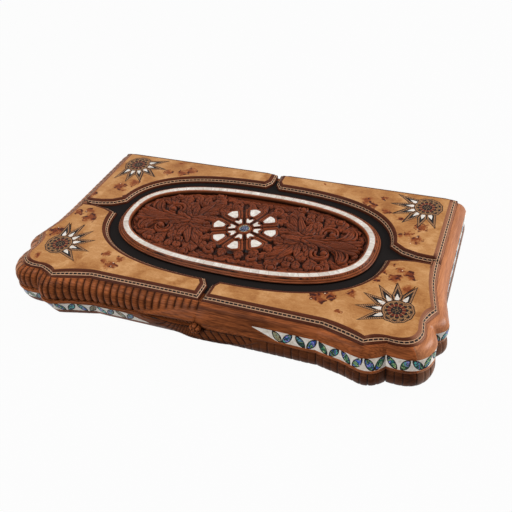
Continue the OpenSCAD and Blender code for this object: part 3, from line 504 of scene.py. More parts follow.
def pearl(name, tones=((196, 183, 170), (218, 210, 200), (232, 228, 221)), tiled=False):
    """Mother of pearl: cloudy white, with the thin seams of separate tiles where it is laid in tiles."""
    mat, tree, shader = material(name)
    clouds = noise(tree, millimetres(tree), 0.09, 4.0, 2.0)
    colour = ramp(tree, clouds[0], [(at, *tone) for at, tone in zip((0.3, 0.5, 0.7), tones)])
    colour = mix(tree, 0.1, colour, clouds["Color"], "SOFT_LIGHT")
    if tiled:
        along = pattern(tree)[0]
        number = calc(tree, "FLOOR", calc(tree, "DIVIDE", along, TILE))
        tone = node(tree, "TexWhiteNoise", {"W": number}, noise_dimensions="1D").outputs["Value"]
        colour = mix(tree, span(tree, tone, 0.0, 1.0, 0.0, 0.5), colour, (176, 158, 144))
        colour = mix(tree, stripe(tree, every(tree, along, TILE), 0.975, 1.2, 0.012), colour, (132, 106, 90))
    feed(tree, shader, {"Base Color": colour, "Roughness": span(tree, clouds[0], 0.3, 0.7, 0.16, 0.3),
                        "Coat Weight": 0.2})
    return mat


def abalone(name, stops, reach=0.3):
    """Abalone shell: bands of colour with dark veins."""
    mat, tree, shader = material(name)
    where = millimetres(tree)
    waves = span(tree, noise(tree, where, reach, 1.5, 1.6)[0], 0.32, 0.68)
    veins_at = noise(tree, where, 0.34, 4.0, 2.0)[0]
    colour = mix(tree, span(tree, veins_at, 0.48, 0.38), ramp(tree, waves, stops), (16, 20, 26))
    feed(tree, shader, {"Base Color": colour, "Roughness": span(tree, veins_at, 0.3, 0.7, 0.22, 0.12),
                        "Specular IOR Level": 0.2, "Coat Weight": 0.06})
    return mat


def leather():
    mat, tree, shader = material("leather")
    grain = cells(tree, millimetres(tree), 1.1)
    feed(tree, shader, {"Base Color": mix(tree, grain, (16, 13, 12), (26, 21, 20)), "Specular IOR Level": 0.08,
                        "Roughness": span(tree, grain, 0.0, 0.8, 0.62, 0.8), "Normal": bump(tree, grain, 0.3)})
    return mat


def ladder():
    """Marquetry banding: black dashes between two pale lines with dark edges."""
    mat, tree, shader = material("ladder banding")
    along, across, _ = pattern(tree)
    dash = times(tree, stripe(tree, every(tree, along, 4.9), 0.05, 0.82, 0.03), stripe(tree, across, 0.24, 0.76))
    colour = mix(tree, stripe(tree, across, 0.06, 0.94), (40, 22, 17), (206, 160, 124))
    colour = mix(tree, times(tree, stripe(tree, across, 0.22, 0.78), 0.6), colour, (124, 80, 56))
    feed(tree, shader, {"Base Color": mix(tree, dash, colour, (20, 15, 14)), "Roughness": 0.5,
                        "Specular IOR Level": 0.12})
    return mat


def hatched():
    """Tan stringing with slanted dark ticks."""
    mat, tree, shader = material("hatched stringing")
    along, across, _ = pattern(tree)
    tick = stripe(tree, every(tree, calc(tree, "MULTIPLY_ADD", across, 0.7, along), 2.1), 0.52, 1.2, 0.08)
    feed(tree, shader, {"Base Color": mix(tree, tick, (174, 128, 88), (84, 52, 34)), "Roughness": 0.5,
                        "Specular IOR Level": 0.12})
    return mat


WALNUT = wood("walnut", (166, 98, 56), (112, 60, 32))
# The painted_light colours of the carved woods are near-black painted shade for grooves, recesses and shaded parts
RAIL_WOOD = wood("carved rail walnut", (178, 100, 56), (80, 40, 21), 0.95, coat=0.0, painted_light=(20, 7, 4), shine=0.05)
# The side rails are a paler copy of the rail walnut: a painted sheen of the lamp at the side
SIDE_RAIL_SHEEN_WOOD = wood("carved side rail walnut with painted sheen", (190, 124, 82), (138, 82, 52), 0.9, math.pi / 2, coat=0.12,
                      painted_light=(24, 9, 5))
CARVED = wood("carved walnut", (140, 68, 36), (76, 36, 19), 0.8, coat=0.02, painted_light=(14, 5, 3), polish=0.7, shine=0.06)
# The moulding's painted_light colour is a painted sheen, pale brown where its side faces would catch the lamp
MOULDING_WOOD = wood("moulding walnut", (86, 42, 26), (50, 24, 14), coat=0.0, painted_light=(156, 104, 78), shine=0.05)
FRAME_WOOD = wood("frame walnut", (168, 92, 54), (100, 50, 27), 0.8, coat=0.02, painted_light=(18, 7, 4), polish=0.7,
                  shine=0.08)
PLAQUE_WOOD = wood("plaque walnut", (134, 64, 36), (70, 32, 18), 0.85, coat=0.02, painted_light=(12, 4, 2), polish=0.62,
                   shine=0.06)
SHELL, PEARL_TILES = pearl("mother of pearl"), pearl("pearl tiles", tiled=True)
BAND_PEARL = pearl("band pearl", ((214, 200, 184), (240, 231, 219), (250, 245, 238)))
ABALONE = abalone("abalone", [(0.0, 8, 44, 46), (0.16, 22, 120, 82), (0.28, 186, 210, 140), (0.36, 14, 128, 120),
                              (0.46, 12, 20, 34), (0.56, 34, 96, 204), (0.66, 160, 158, 226), (0.76, 60, 38, 92),
                              (0.87, 96, 216, 206), (1.0, 10, 70, 70)], reach=0.085)
PALE_ABALONE = abalone("pale abalone", [(0.1, 70, 58, 42), (0.5, 168, 148, 104), (0.9, 150, 166, 140)], reach=0.2)
CABOCHON = abalone("violet shell", [(0.0, 20, 22, 36), (0.4, 46, 52, 84), (0.55, 26, 32, 40), (0.72, 150, 158, 190),
                                    (1.0, 40, 44, 70)])
LADDER = ladder()
OUTLINE_WOOD, HATCHED, BLACK, TAN, RED, WHITE = range(6)  # places in the stars' finishes
STAR_FINISH = [wood("star outline", (26, 15, 11), (17, 9, 7)), hatched(), wood("star black", (26, 18, 15), (17, 11, 9)),
               wood("star tan", (166, 122, 80), (130, 92, 60)), wood("star red", (104, 38, 21), (66, 22, 13)), SHELL]
SLOT_FINISH = {
    "walnut": WALNUT, "dark_walnut": wood("dark walnut", (86, 42, 26), (50, 24, 14), coat=0.0, shine=0.05),
    "burl": burl(), "light_wood": wood("maple", (214, 184, 138), (186, 150, 104)),
    "veneer": wood("field veneer", (196, 152, 104), (160, 116, 74)), "shell": SHELL, "abalone": ABALONE,
    "leather": leather(), "brass": metal("brass", (206, 168, 92), 0.28), "steel": metal("steel", (180, 180, 184), 0.3)}


def dress_nodes():
    """Gives every CAD node the finish of its slot in the record."""
    slots = {part["node"]: part["material_slot"] for part in frame["record"]["subparts"]}
    for name, obj in frame["nodes"].items():
        for slot in obj.material_slots:
            slot.material = SLOT_FINISH[slots[name]]
        if not obj.material_slots:
            obj.data.materials.append(SLOT_FINISH[slots[name]])


# Carved rails
def curl(f, g):
    """A point of the ribbed side, in parts of its way out and down to the rim."""
    return (EDGE_W + (BULGE - EDGE_W) * f, -EDGE_DROP + (RIM + EDGE_DROP) * g)


def swell(f, g):
    """A point of the smooth side, in parts of its way out and down to the band."""
    return (EDGE_W + (BULGE - EDGE_W) * f, -EDGE_DROP - (BAND_TOP - EDGE_DROP) * g)


BAND_FOOT = BAND_TOP + BAND_H
RIBBED_SIDE = spline([(EDGE_W, -EDGE_DROP), curl(0.3, 0.045), curl(0.65, 0.16), curl(0.92, 0.33), curl(1.045, 0.55),
                      curl(1.03, 0.76), curl(0.97, 0.91), curl(0.86, 1)], 43)
SMOOTH_SIDE = np.concatenate([
    spline([(EDGE_W, -EDGE_DROP), swell(0.4, 0.14), swell(0.75, 0.48), swell(1, 1)], 17),
    spline([(BULGE, -BAND_TOP - 0.05), (BULGE, -BAND_FOOT + 0.05)], 15),
    spline([(BULGE + 0.2, -BAND_FOOT - 0.1), (BULGE + 0.6, -BAND_FOOT - 1.2), (BULGE + 0.5, RIM + 1),
            (BULGE + 0.1, RIM)], 9)])
RIBBED_ARC = path_length(RIBBED_SIDE)
PARTING_EASE = 0.5  # height of the eased edge along the parting
UNDER_RIBS = 3.4  # height of the shadow under the lid's ribs
RAIL_STEP, SMOOTH_STEP = 0.85, 3.0  # spacing of the rings where there are ribs or leaves, and where there are none


def leaf_edge(x):
    """Height of the upper edge of the plain leaf, x from the middle of the front."""
    return -11.8 - 18.6 * np.clip(x / LEAF_LEN, 0, 1) ** 1.9


def leaf_foot(x):
    """Height of the leaf's lower edge, above the recess that holds the small leaf."""
    return -20.5 - 9.8 * np.clip(x / LEAF_LEN, 0, 1) ** 1.35


def band_low(x, front):
    """Lower edge of the shell band, which comes to a point at the front's BAND_START."""
    share = np.clip((x - BAND_START) / 30, 0, 1) if front else 1
    return -BAND_TOP - 0.2 - (BAND_H - 0.2) * share


def veins(x, z, slope, pitch):
    return np.abs(np.cos(np.pi * (x + slope * z) / pitch)) ** 10


def rib_cut(turns, z, x, front, base):
    """Depth of the grooves between the ribs, which stop at the moulding and at the leaf; the base's are narrow."""
    side = np.abs(2 * (turns % 1) - 1)
    groove = 0.5 * (1 - np.sqrt(1 - 0.99 * side ** 8)) if base else 1 - np.sqrt(1 - 0.99 * side ** 3.6)
    reach = step_up(RIBBED_ARC[None, :], 0.2, 1.8)
    if front:
        reach = reach * step_up(np.where(x < LEAF_LEN, z - leaf_edge(x) - 1.2 * side, 9), 0.0, 1.4)
    if not base:
        groove = np.maximum(groove, 0.75 * side ** 2 * step_up(-z, 25.5, -RIM))
    return groove * reach


def leaf_relief(s, z, base):
    """How far the leaves at the middle of the front stand out, and the painted shade in their recesses and veins."""
    x = np.abs(s)
    fade = np.minimum(1, 4 * (1 - np.clip(x / (LEAF_LEN + 2), 0, 1)))
    out = LEAF_SWELL * np.cos(np.pi / 2 * np.clip(x / LEAF_LEN, 0, 1)) ** 2 * step_up(-z, 9, 18)
    under, foot = leaf_edge(x) - z, leaf_foot(x) - z
    inside = (under > 0) & (x < LEAF_LEN)
    if base:
        mid = -19.5 - 4 * x / LEAF_LEN
        rim = 1.2 * step_up(under, 0, 1.6) + 1.2 * ridge(z, mid, 4)
        fan = z + 0.03 * (x - 38) ** 2 * (s > 0)
        lines = veins(x, fan, np.where(s > 0, -1.2, -0.9), np.where(s > 0, 9.0, 8.6))
        lines = 1.5 * lines * step_up(under, 1.0, 2.5)
        # Painted shade over the base's leaf, darker in its veins
        return out + np.where(inside, (rim - 0.6 * lines) * fade, 0), np.where(inside, 0.2 + 0.65 * lines, 0) * fade
    fold = 2.4 * np.sin(np.pi * np.clip(under / (under - foot + 1e-6), 0, 1)) ** 0.7 * step_up(under, 0, 1.5)
    drop = step_up(foot, 0, 1.3)
    small = veins(x, -z, 1.2, 5.0) * step_up(foot, 1.2, 2)
    bulge = 1.6 * np.sin(np.pi * np.clip((foot - 1.2) / 6, 0, 1))
    recess = (1 - drop) * fold + (bulge - 2.6 - 0.6 * small) * drop
    soft = (0.5 * step_up(under, 0, 4) - (1.2 + 0.4 * small) * drop) * step_up(x, 0, 8)
    # Painted shade in the recess under the leaf and in the small leaf's veins
    dark = np.where(inside, 0.36 * drop + 0.6 * small, 0) * fade
    return out + np.where(inside, np.where(s < 0, recess, soft) * fade, 0), dark * np.where(s < 0, 1, 0.4)


def rail_wall(s, rows, front):
    """Inner corner of the rail at each station, and the way to the rebate."""
    corner_x, corner_y = outline.at(np.array([outline.corner]))[0][0, :2]
    if front:
        x = IN_X * rows[:, 0] / corner_x
        reach = np.where(np.abs(x) > IN_X - 0.01, np.sign(x), 0)
        return np.stack([x, np.full_like(x, IN_FRONT)], 1), np.stack([reach, np.full_like(x, -1.0)], 1)
    side = np.sign(s)
    y = IN_FRONT + (BACK_Y - IN_FRONT) * (rows[:, 1] - corner_y) / (BACK_Y - corner_y)
    return np.stack([side * IN_X, y], 1), np.stack([side, np.where(y > IN_FRONT + 0.01, 0, -1.0)], 1)


def rail_side(s, turns, front, base):
    """Outer side of a rail: how far it stands out, its heights and its painted shade in the grooves, under the ribs,
    along the parting and over the base.
    """
    x, smooth = np.abs(s), step_up(s, 6.0, 28)
    ribbed_out, ribbed_z = RIBBED_SIDE.T[:, None]
    smooth_out, smooth_z = SMOOTH_SIDE.T[:, None]
    cut = rib_cut(turns, ribbed_z, x, front, base) * (1 - step_up(s, 5.0, 6.5))
    recess = BAND_T * (smooth_z < -BAND_TOP - 0.1) * (smooth_z > band_low(x, front) + 0.02)
    if front:
        recess = recess * (x > BAND_START)
    out = (1 - smooth) * (ribbed_out - RIB_DEPTH * cut) + smooth * leaned(smooth_out, smooth_z, s)
    out = drawn_in(out, s) - smooth * recess
    z = (1 - smooth) * ribbed_z + smooth * smooth_z
    # Painted shade in the grooves between the ribs, stronger on the base
    dark = (1 - smooth) * np.clip((2.2 if base else 1.3) * cut ** 0.6, 0, 1)
    if front:
        leaf, leaf_dark = leaf_relief(s + 0 * z, z, base)
        out, dark = out + leaf, np.maximum(dark, np.clip(leaf_dark, 0, 1))
    # Painted shade over the base's front, which faces down, lighter towards its smooth half
    if base:
        dark = np.maximum(dark, 0.64 - 0.56 * step_up(s, 45, 85))
    else:
        # Painted shadow under the lid's ribs, just above the parting
        shadow = 0.9 * (1 - smooth) * step_up(x, 60, 100)
        dark = np.maximum(dark, shadow * step_up(RIM + UNDER_RIBS - z, 0, UNDER_RIBS))
    # Painted shade in the gap along the parting, where the edge is also eased
    parting = step_up(RIM + PARTING_EASE - z, 0, PARTING_EASE)
    return out - 0.5 * parting, z, np.maximum(dark, parting)


def rail_points(lo, hi, step, front, base):
    """Rings of a rail from path length lo to hi. The left half is ribbed and the right half smooth."""
    s = outline.stations(lo, hi, step)
    rows, turns = outline.at(s)
    out, z, dark = rail_side(s[:, None], turns[:, None], front, base)
    edge, way = rows[:, :2], rows[:, 2:]
    side = edge[:, None] + way[:, None] * out[..., None]
    ring = [in_box(np.concatenate([side, (TOP_Z + z)[..., None]], 2))]
    wall, reach = rail_wall(s, rows, front)
    foot = wall + REBATE * reach
    seat_out, seat_z = (0, TOP_Z) if base else (EDGE_W, TOP_Z - PANEL_H)
    rim_z = PART_Z + PARTING_GAP / 2
    for xy, height in ((edge + way * (out[:, -1:] - 0.4), rim_z), (wall, rim_z), (wall, TOP_Z - LEDGE),
                       (foot, TOP_Z - LEDGE), (foot, seat_z), (edge + way * seat_out, seat_z)):
        ring.append(np.concatenate([xy, np.full((len(s), 1), height)], 1)[:, None])
    # The base's inner faces get a fixed share of painted shade
    inner_shade = np.full((len(s), len(ring) - 1), 0.3 if base else 0.0)
    return np.concatenate(ring, 1), np.concatenate([dark, inner_shade], 1)


def build_rails():
    corner, end = outline.corner, outline.end
    for body, left, right in (("lid", "left", "right"), ("base", "right", "left")):
        for name, lo, hi, step, finish in (("front", -corner, corner, RAIL_STEP, RAIL_WOOD),
                                           (left, -end, -corner, RAIL_STEP, SIDE_RAIL_SHEEN_WOOD),
                                           (right, corner, end, SMOOTH_STEP, SIDE_RAIL_SHEEN_WOOD)):
            points, dark = rail_points(lo, hi, step, name == "front", body == "base")
            bm = skin(on_body(points, body), painted_light=dark, closed=True, capped=True)
            stands_for = "%s_%s_rail" % (body, name)
            finish_piece(bm, "carved_" + stands_for, body, finish, replaces=[stands_for])


# Mouldings and banding round the panels
SPLIT_W = 18.0
OVAL_A, OVAL_B, OVAL_N = MED_A + 16.7, MED_B + 18.5, 2.6
WAIST_W, BROW_W = HALF_W - OVAL_A, HALF_D - OVAL_B
SIDE_GAP, TIP_FRONT, TIP_BACK, SPLIT_FLARE, SPLIT_DEEP = INNER_W + 0.2, 13.5, 20.3, 3.5, 0.72 * BROW_W
RAIL, OPENING, HINGE_SIDE = 0, 1, 2  # kinds of edge
# Width and drop of the moulding along each kind, and the shares of its width between which the banding lies
MOULDING = {RAIL: (EDGE_W, EDGE_DROP, 0.40, 0.76), OPENING: (INNER_W, 5.2, 0.52, 0.87),
            HINGE_SIDE: (BACK_Y - HALF_D, 0.6, 0.40, 0.76)}
FILLET_LAP = 0.3  # how far the moulding laps over the burl


def oval(a, b, n, t):
    """Points of an oval with flattened ends at angles t, in degrees."""
    c, d = np.cos(np.radians(t)), np.sin(np.radians(t))
    return np.stack([a * np.sign(c) * np.abs(c) ** (2 / n), b * np.sign(d) * np.abs(d) ** (2 / n)], -1)


def opening(y0, n=48):
    """The opening's edge in a quarter of the lid, from height y0 on the side to the flare of the split."""
    t0 = math.degrees(math.asin((y0 / OVAL_B) ** (OVAL_N / 2)))
    t1 = math.degrees(math.acos(((SPLIT_W / 2 + SPLIT_FLARE) / OVAL_A) ** (OVAL_N / 2)))
    return [tuple(p) for p in oval(OVAL_A, OVAL_B, OVAL_N, np.linspace(t0, t1, n + 1))]


def panel_edge(front):
    """Corners of a right panel, counter-clockwise: point, pull of the rail or None, kind of the edge after it."""
    split, x0, x1 = SPLIT_W / 2, SIDE_MID[0], SIDE_BACK[0]
    if front:
        edge = [((split, -HALF_D), None, RAIL), ((split + 6, -HALF_D), (0, -1.03), RAIL)]
        stops = outline.stations(outline.breaks[FLAT_END], outline.breaks[SIDE_FLAT], 3.0)[1:]
        edge += [((r[0], r[1]), (r[2], r[3]), RAIL) for r in outline.at(stops)[0]]
        edge += [((x0, -SIDE_GAP - 6), (1.03, 0), RAIL)]
        inner = [(x0, -SIDE_GAP), (x0 - 0.16 * WAIST_W, -SIDE_GAP), (HALF_W - 0.4 * WAIST_W, -SIDE_GAP),
                 (HALF_W - 0.775 * WAIST_W, -SIDE_GAP - 2.5)]
        inner += [(x, -y) for x, y in opening(TIP_FRONT)]
        inner += [(split, -HALF_D + SPLIT_DEEP), (split, -HALF_D + 6)]
        return edge + [(p, None, OPENING) for p in inner]
    edge = [((x0, SIDE_GAP + 6.5), (1.02, 0), RAIL), ((x1, HALF_D - 6), (0.95, 0), RAIL),
            ((x1, HALF_D), (0.95, 0), HINGE_SIDE), ((x1 - 6, HALF_D), None, HINGE_SIDE),
            ((split + 6, HALF_D), None, HINGE_SIDE), ((split, HALF_D), None, OPENING)]
    inner = [(split, HALF_D - 6), (split, HALF_D - SPLIT_DEEP)] + opening(TIP_BACK)[::-1]
    inner += [(HALF_W - 0.75 * WAIST_W, SIDE_GAP + 5.5), (HALF_W - 0.4 * WAIST_W, SIDE_GAP + 1.5),
              (x0 - 0.16 * WAIST_W, SIDE_GAP + 0.5)]
    return edge + [(p, None, OPENING) for p in inner] + [((x0, SIDE_GAP + 0.5), None, RAIL)]


def moulding_profile(kind, part):
    """(distance out, height) pairs: a fillet, a seat for the banding and a lower round, or the banding's own face."""
    w, drop, lo, hi = MOULDING[kind]

    def lifted(t, h):
        """A point at share t of the width, h above the moulding's slope."""
        return (w * t, -drop * (0.25 * t + 0.75 * t * t) + h)

    if part == "banding":
        return [lifted(t, 0.12 * math.sin(math.pi * (t - lo) / (hi - lo))) for t in np.linspace(lo, hi, 5)]
    top = [(-FILLET_LAP, 0)]
    top += [lifted(t, h) for t, h in ((0.25 * lo, 0.35), (0.5 * lo, 0.5), (0.75 * lo, 0.4), (lo - 0.01, 0.0),
                                      (lo, -0.35), (hi, -0.35), (hi + 0.01, 0.0))]
    top += [lifted(hi + t * (1 - hi), h) for t, h in ((0.3, 0.3), (0.6, 0.35), (0.85, 0.2))]
    return [(x, min(z, 0.03)) for x, z in top] + [(w, -drop), (w, -PANEL_H), (0, -PANEL_H)]


def mitre(n, m, u, w):
    """Offset of a corner between edges with outward normals n and m and their own offsets u and w."""
    c = n @ m
    return n * (u + w) / 2 if c > 0.999 else ((u - w * c) * n + (w - u * c) * m) / (1 - c * c)


def mitred(edge, part):
    """Rings of a moulding or banding round a panel, closed on themselves, their pattern and their painted sheen."""
    points = np.array([e[0] for e in edge])
    step = np.roll(points, -1, 0) - points
    out = np.stack([step[:, 1], -step[:, 0]], 1) / np.linalg.norm(step, axis=1)[:, None]
    rings = []
    for i, (p, pull, kind) in enumerate(edge):
        before = edge[i - 1][2]
        ring = []
        for (u, zu), (w, zw) in zip(moulding_profile(before, part), moulding_profile(kind, part)):
            if pull is None:
                v = mitre(out[i - 1], out[i], u, w)
            elif before == kind:
                v = np.array(pull) * w
            else:
                v = np.array(pull) * u + out[i] * w
            ring.append((p[0] + v[0], p[1] + v[1], TOP_Z + (zu + zw) / 2))
        rings.append(ring)
    rings = np.array(rings + rings[:1])
    across = np.linspace(0, 1, rings.shape[1])
    # Painted sheen: the rail mouldings that face the sides are painted paler, as where they catch the lamp
    aside = step_up(np.abs(out[:, 0]), 0.35, 0.9) * np.array([e[2] == RAIL for e in edge])
    aside = np.minimum(aside, np.roll(aside, 1))
    painted_sheen = 0.75 * np.concatenate([aside, aside[:1]])[:, None] + 0 * across[None, :]
    return rings, pattern_uv(path_length(rings[:, 2, :2]), across), painted_sheen


def build_mouldings():
    strips = []
    for where in ("front", "back"):
        edge = panel_edge(where == "front")
        body, _, painted_sheen = mitred(edge, "moulding")
        band, uv, _ = mitred(edge, "banding")
        for side in ("right", "left"):
            name = "moulding_%s_%s" % (where, side)
            bm = skin(on_side(body, side), painted_light=painted_sheen, closed=True)
            finish_piece(bm, "panel_" + name, "lid", MOULDING_WOOD, smooth=False, replaces=[name])
            strips.append((skin(on_side(band, side), uv=uv), 0))
    bands = join(strips)
    for face in bands.faces:
        if face.normal.z < 0:
            face.normal_flip()
    finish_piece(bands, "ladder_banding", "lid", LADDER, replaces=["panel_banding"])


# Carved plaque
RING_OUT, RING_IN = FRAME_OUT, FRAME_OUT + PEARL_W
FIELD_IN = RING_IN + FRAME_IN  # from the medallion's edge to the carved field
FIELD_A, FIELD_B = MED_A - FIELD_IN, MED_B - FIELD_IN
FIELD_GAP = 0.3  # between the carving and its frame
GROUND_Z, CARVING_FOOT, CARVING_TOP = TOP_Z - 5.3, -0.9, 5.1  # ground of the carving, its lowest and highest points
PLAQUE_GRID = 290, 211  # columns and rows of the carved half
ROSETTE_SEAT = 36  # radius of the flat ground under the rosette
LEAF_STEPS, LOBE_LEAN, TRENCH = 64, 0.3, 1.2


def volute(centre, r0, r1, a0, turn, n=14):
    """Points of a spiral that winds in round a centre from radius r0 to r1, angles in degrees."""
    t = np.linspace(0, 1, n)
    a, r = np.radians(a0 + turn * t), r0 * (r1 / r0) ** t
    return [(centre[0] + q * math.cos(b), centre[1] + q * math.sin(b)) for q, b in zip(r, a)]


class Relief:
    """Heights of a carved ground. Each leaf is cut over the ones before it, with a fine trench round it."""

    def __init__(self, x, y):
        self.x, self.y = x, y
        self.h = 0.12 * np.sin(x * 1.7 + 2 * np.sin(y * 0.6))

    def leaf(self, points, width, top, crown=1.2, lobes=0, flutes=0, taper=1.0, rise=0.0, shape=0.75, stem=False):
        """Cuts a leaf, or a stem of slowly changing width, along a smooth line through the points."""
        p = smooth_line(points, LEAF_STEPS)
        margin = width * 1.4 + 1.5
        (left, front), (right, back) = p.min(0) - margin, p.max(0) + margin
        box = np.where((self.x > left) & (self.x < right) & (self.y > front) & (self.y < back))
        x, y = self.x[box], self.y[box]
        if not len(x):
            return
        gap = (x[:, None] - p[:, 0]) ** 2 + (y[:, None] - p[:, 1]) ** 2
        k = gap.argmin(1)
        far = np.sqrt(gap[np.arange(len(k)), k])
        way = np.gradient(p, axis=0)
        way /= np.linalg.norm(way, axis=1)[:, None] + 1e-9
        side = way[k, 0] * (y - p[k, 1]) - way[k, 1] * (x - p[k, 0])
        t = k / (LEAF_STEPS - 1)
        if stem:
            w = width * (1 - taper * t)
        else:
            w = width * np.clip(np.sin(np.pi * np.clip(t, 0, 1) ** shape), 0.12, 1) ** 0.55 * (1 - 0.25 * taper * t)
        if lobes:
            w = w * (0.74 + 0.26 * np.abs(np.sin(np.pi * lobes * (t - LOBE_LEAN))) ** 0.6)
        r, s = far / w, side / w
        body = top + rise * t ** 1.5 + crown * np.sqrt(1 - np.minimum(r, 1) ** 2) - 0.5 * crown
        if lobes:
            between = 1 - np.abs(np.sin(np.pi * lobes * (t - LOBE_LEAN * np.abs(s))))
            body = body - 0.8 * between ** 3 - 0.7 * ridge(side, 0, 0.55)
        if flutes:
            body = body - 0.75 * np.abs(np.sin(np.pi * flutes * s / 2)) ** 6
        trench = TRENCH * (1 - np.clip((far - w) / TRENCH, 0, 1)) * (far - w < TRENCH)
        self.h[box] = np.where(r < 1, body, self.h[box] - trench)

    def pair(self, points, width, top, **how):
        """Cuts a leaf and its mirror image."""
        for side in (1, -1):
            self.leaf([(x, side * y) for x, y in points], width, top, **how)

    def scroll(self, points, width, top, crown, taper):
        """Cuts a pair of round stems, curls or beads."""
        self.pair(points, width, top, crown=crown, stem=True, taper=taper)


# Leaves of the border and large blunt leaves: points, width and, for the blunt ones, height
BORDER_LEAVES = [
    ([(-3, 50), (6, 53), (17, 54)], 6.5), ([(17, 56), (27, 53), (38, 54)], 6.5), ([(34, 57), (46, 55), (58, 53)], 7),
    ([(54, 56), (66, 54), (77, 52)], 7), ([(74, 53), (86, 51), (97, 48)], 6.5), ([(95, 48), (106, 44), (113, 40)], 6.5),
    ([(132, 10), (136, 16), (132, 24)], 5)]
BLUNT_LEAVES = [
    ([(60, 24), (54, 37), (46, 51)], 12, 2.3), ([(66, 32), (68, 41), (66, 50)], 7.0, 2.2),
    ([(84, 14), (81, 25), (77, 36)], 9.5, 2.6), ([(90, 30), (93, 38), (92, 48)], 9.5, 2.3),
    ([(104, 27), (109, 35), (109, 44)], 8.0, 2.3), ([(46, 34), (38, 37), (31, 43)], 6.5, 2.2),
    ([(76, 36), (78, 43), (79, 50)], 6.0, 2.2), ([(112, 28), (120, 33), (127, 31)], 6.5, 2.0),
    ([(42, 24), (45, 32), (42, 40)], 5.5, 2.3), ([(120, 24), (127, 30), (131, 26)], 5.0, 1.9)]
FLOWERS = [((54, 56), 4.6), ((104, 43), 4.0), ((69, 37), 3.6)]  # middle and size of each curled flower
WREATH_LEAVES = 16


def carve(field):
    """The whole composition of one half: leaves from the border to the heart of the palmette, lowest first."""
    pair, scroll = field.pair, field.scroll
    for points, width in BORDER_LEAVES:
        pair(points, width, 1.3, lobes=3, shape=1.2)
    for points, width, top in BLUNT_LEAVES:
        pair(points, width, top, lobes=3, shape=1.35, rise=0.9)
    scroll(volute((25, 45), 7.5, 1.6, -60, 400), 2.6, 2.6, 2.0, 0.35)
    for (x, y), size in FLOWERS:
        scroll([(x, y), (x + 0.6, y)], size, 3.0, 3.0, 0.1)
        scroll(volute((x, y), size + 1.2, size + 0.6, 150, 250, 10), 1.1, 3.2, 1.2, 0.2)
    pair([(64, 5), (59, 18), (51, 30), (44, 38)], 7.0, 2.8, flutes=4, rise=0.9)
    pair([(67, 6), (66, 18), (60, 30), (56, 40)], 5.5, 3.0, flutes=3, rise=0.9)
    pair([(60, 9), (53, 18), (44, 24)], 5.5, 2.8, lobes=3, rise=0.6)
    pair([(56, 7), (49, 12), (43, 14)], 4.6, 2.8, lobes=2, rise=0.6)
    pair([(70, 8), (72, 19), (73, 30)], 5.5, 3.0, lobes=4, rise=1.0)
    pair([(78, 8), (84, 16), (84, 27)], 5.5, 3.2, lobes=4, rise=0.6)
    scroll(volute((98, 19), 10.5, 8.6, 215, -310, 20), 2.3, 3.1, 2.0, 0.5)
    scroll(volute((99, 18.5), 6.8, 5.2, 200, -250, 16), 1.3, 2.9, 1.3, 0.4)
    scroll([(102, 17), (102.8, 17)], 3.9, 3.5, 3.2, 0.1)
    pair([(106, 7), (117, 12), (122, 20), (123, 29)], 7.0, 2.9, flutes=4, rise=1.0, shape=1.4)
    scroll([(110, 6), (123, 9), (129, 17), (128, 26), (123, 31)], 1.7, 3.9, 1.5, 0.4)
    scroll([(108, 8), (115, 13), (118, 20), (119, 26)], 1.2, 4.2, 1.2, 0.4)
    pair([(108, 5), (124, 7), (137, 12), (135, 18)], 3.6, 3.3, flutes=2, rise=0.6)
    pair([(70, 4), (78, 11), (80, 20)], 4.6, 3.5, lobes=3, rise=0.7)
    pair([(74, 3), (86, 8), (93, 13)], 4.6, 3.6, lobes=3, rise=0.6)
    pair([(72, 3), (60, 8), (49, 9)], 5.4, 3.3, lobes=3, rise=0.7)
    for i in range(WREATH_LEAVES):
        leaf = turned([(40, 0), (45, 1.5), (52, 0)], 360 / WREATH_LEAVES * (i + 0.5))
        field.leaf(leaf, 6.5, 3.0, lobes=3, rise=0.4)
    field.leaf([(74, 0), (62, 0), (46, 0)], 6.0, 3.6, lobes=4, rise=0.8)
    for tip in (-9, -4.5, 0, 4.5, 9):
        points = [(112, 0.6 * tip), (126, 0.9 * tip), (141 - 0.35 * abs(tip), 1.25 * tip)]
        field.leaf(points, 3.6, 3.2, crown=1.6, rise=0.9, shape=1.6)
    field.leaf([(84, 0), (104, 0), (134, 0)], 8.5, 3.6, flutes=6, rise=0.4, crown=1.6, shape=1.9)
    scroll([(80, 2), (95, 4.5), (108, 9)], 2.0, 4.0, 1.5, 0.3)
    field.leaf([(70, 0), (84, 0), (104, 0)], 4.0, 4.0, flutes=2, crown=1.6)
    pair([(71, 1), (76, 4), (81, 5)], 2.6, 4.0, crown=1.4)


def shade_of(h, reach, level, depth):
    """How deep each point lies below its surroundings: 0 at level above them, 1 a depth further down."""
    mean, n = h, 2 * reach + 1
    for _ in range(2):
        total = np.cumsum(np.pad(mean, ((reach + 1, reach), (0, 0)), "edge"), 0)
        mean = ((total[n:] - total[:-n]) / n).T
    return np.clip((mean - h + level) / depth, 0, 1)


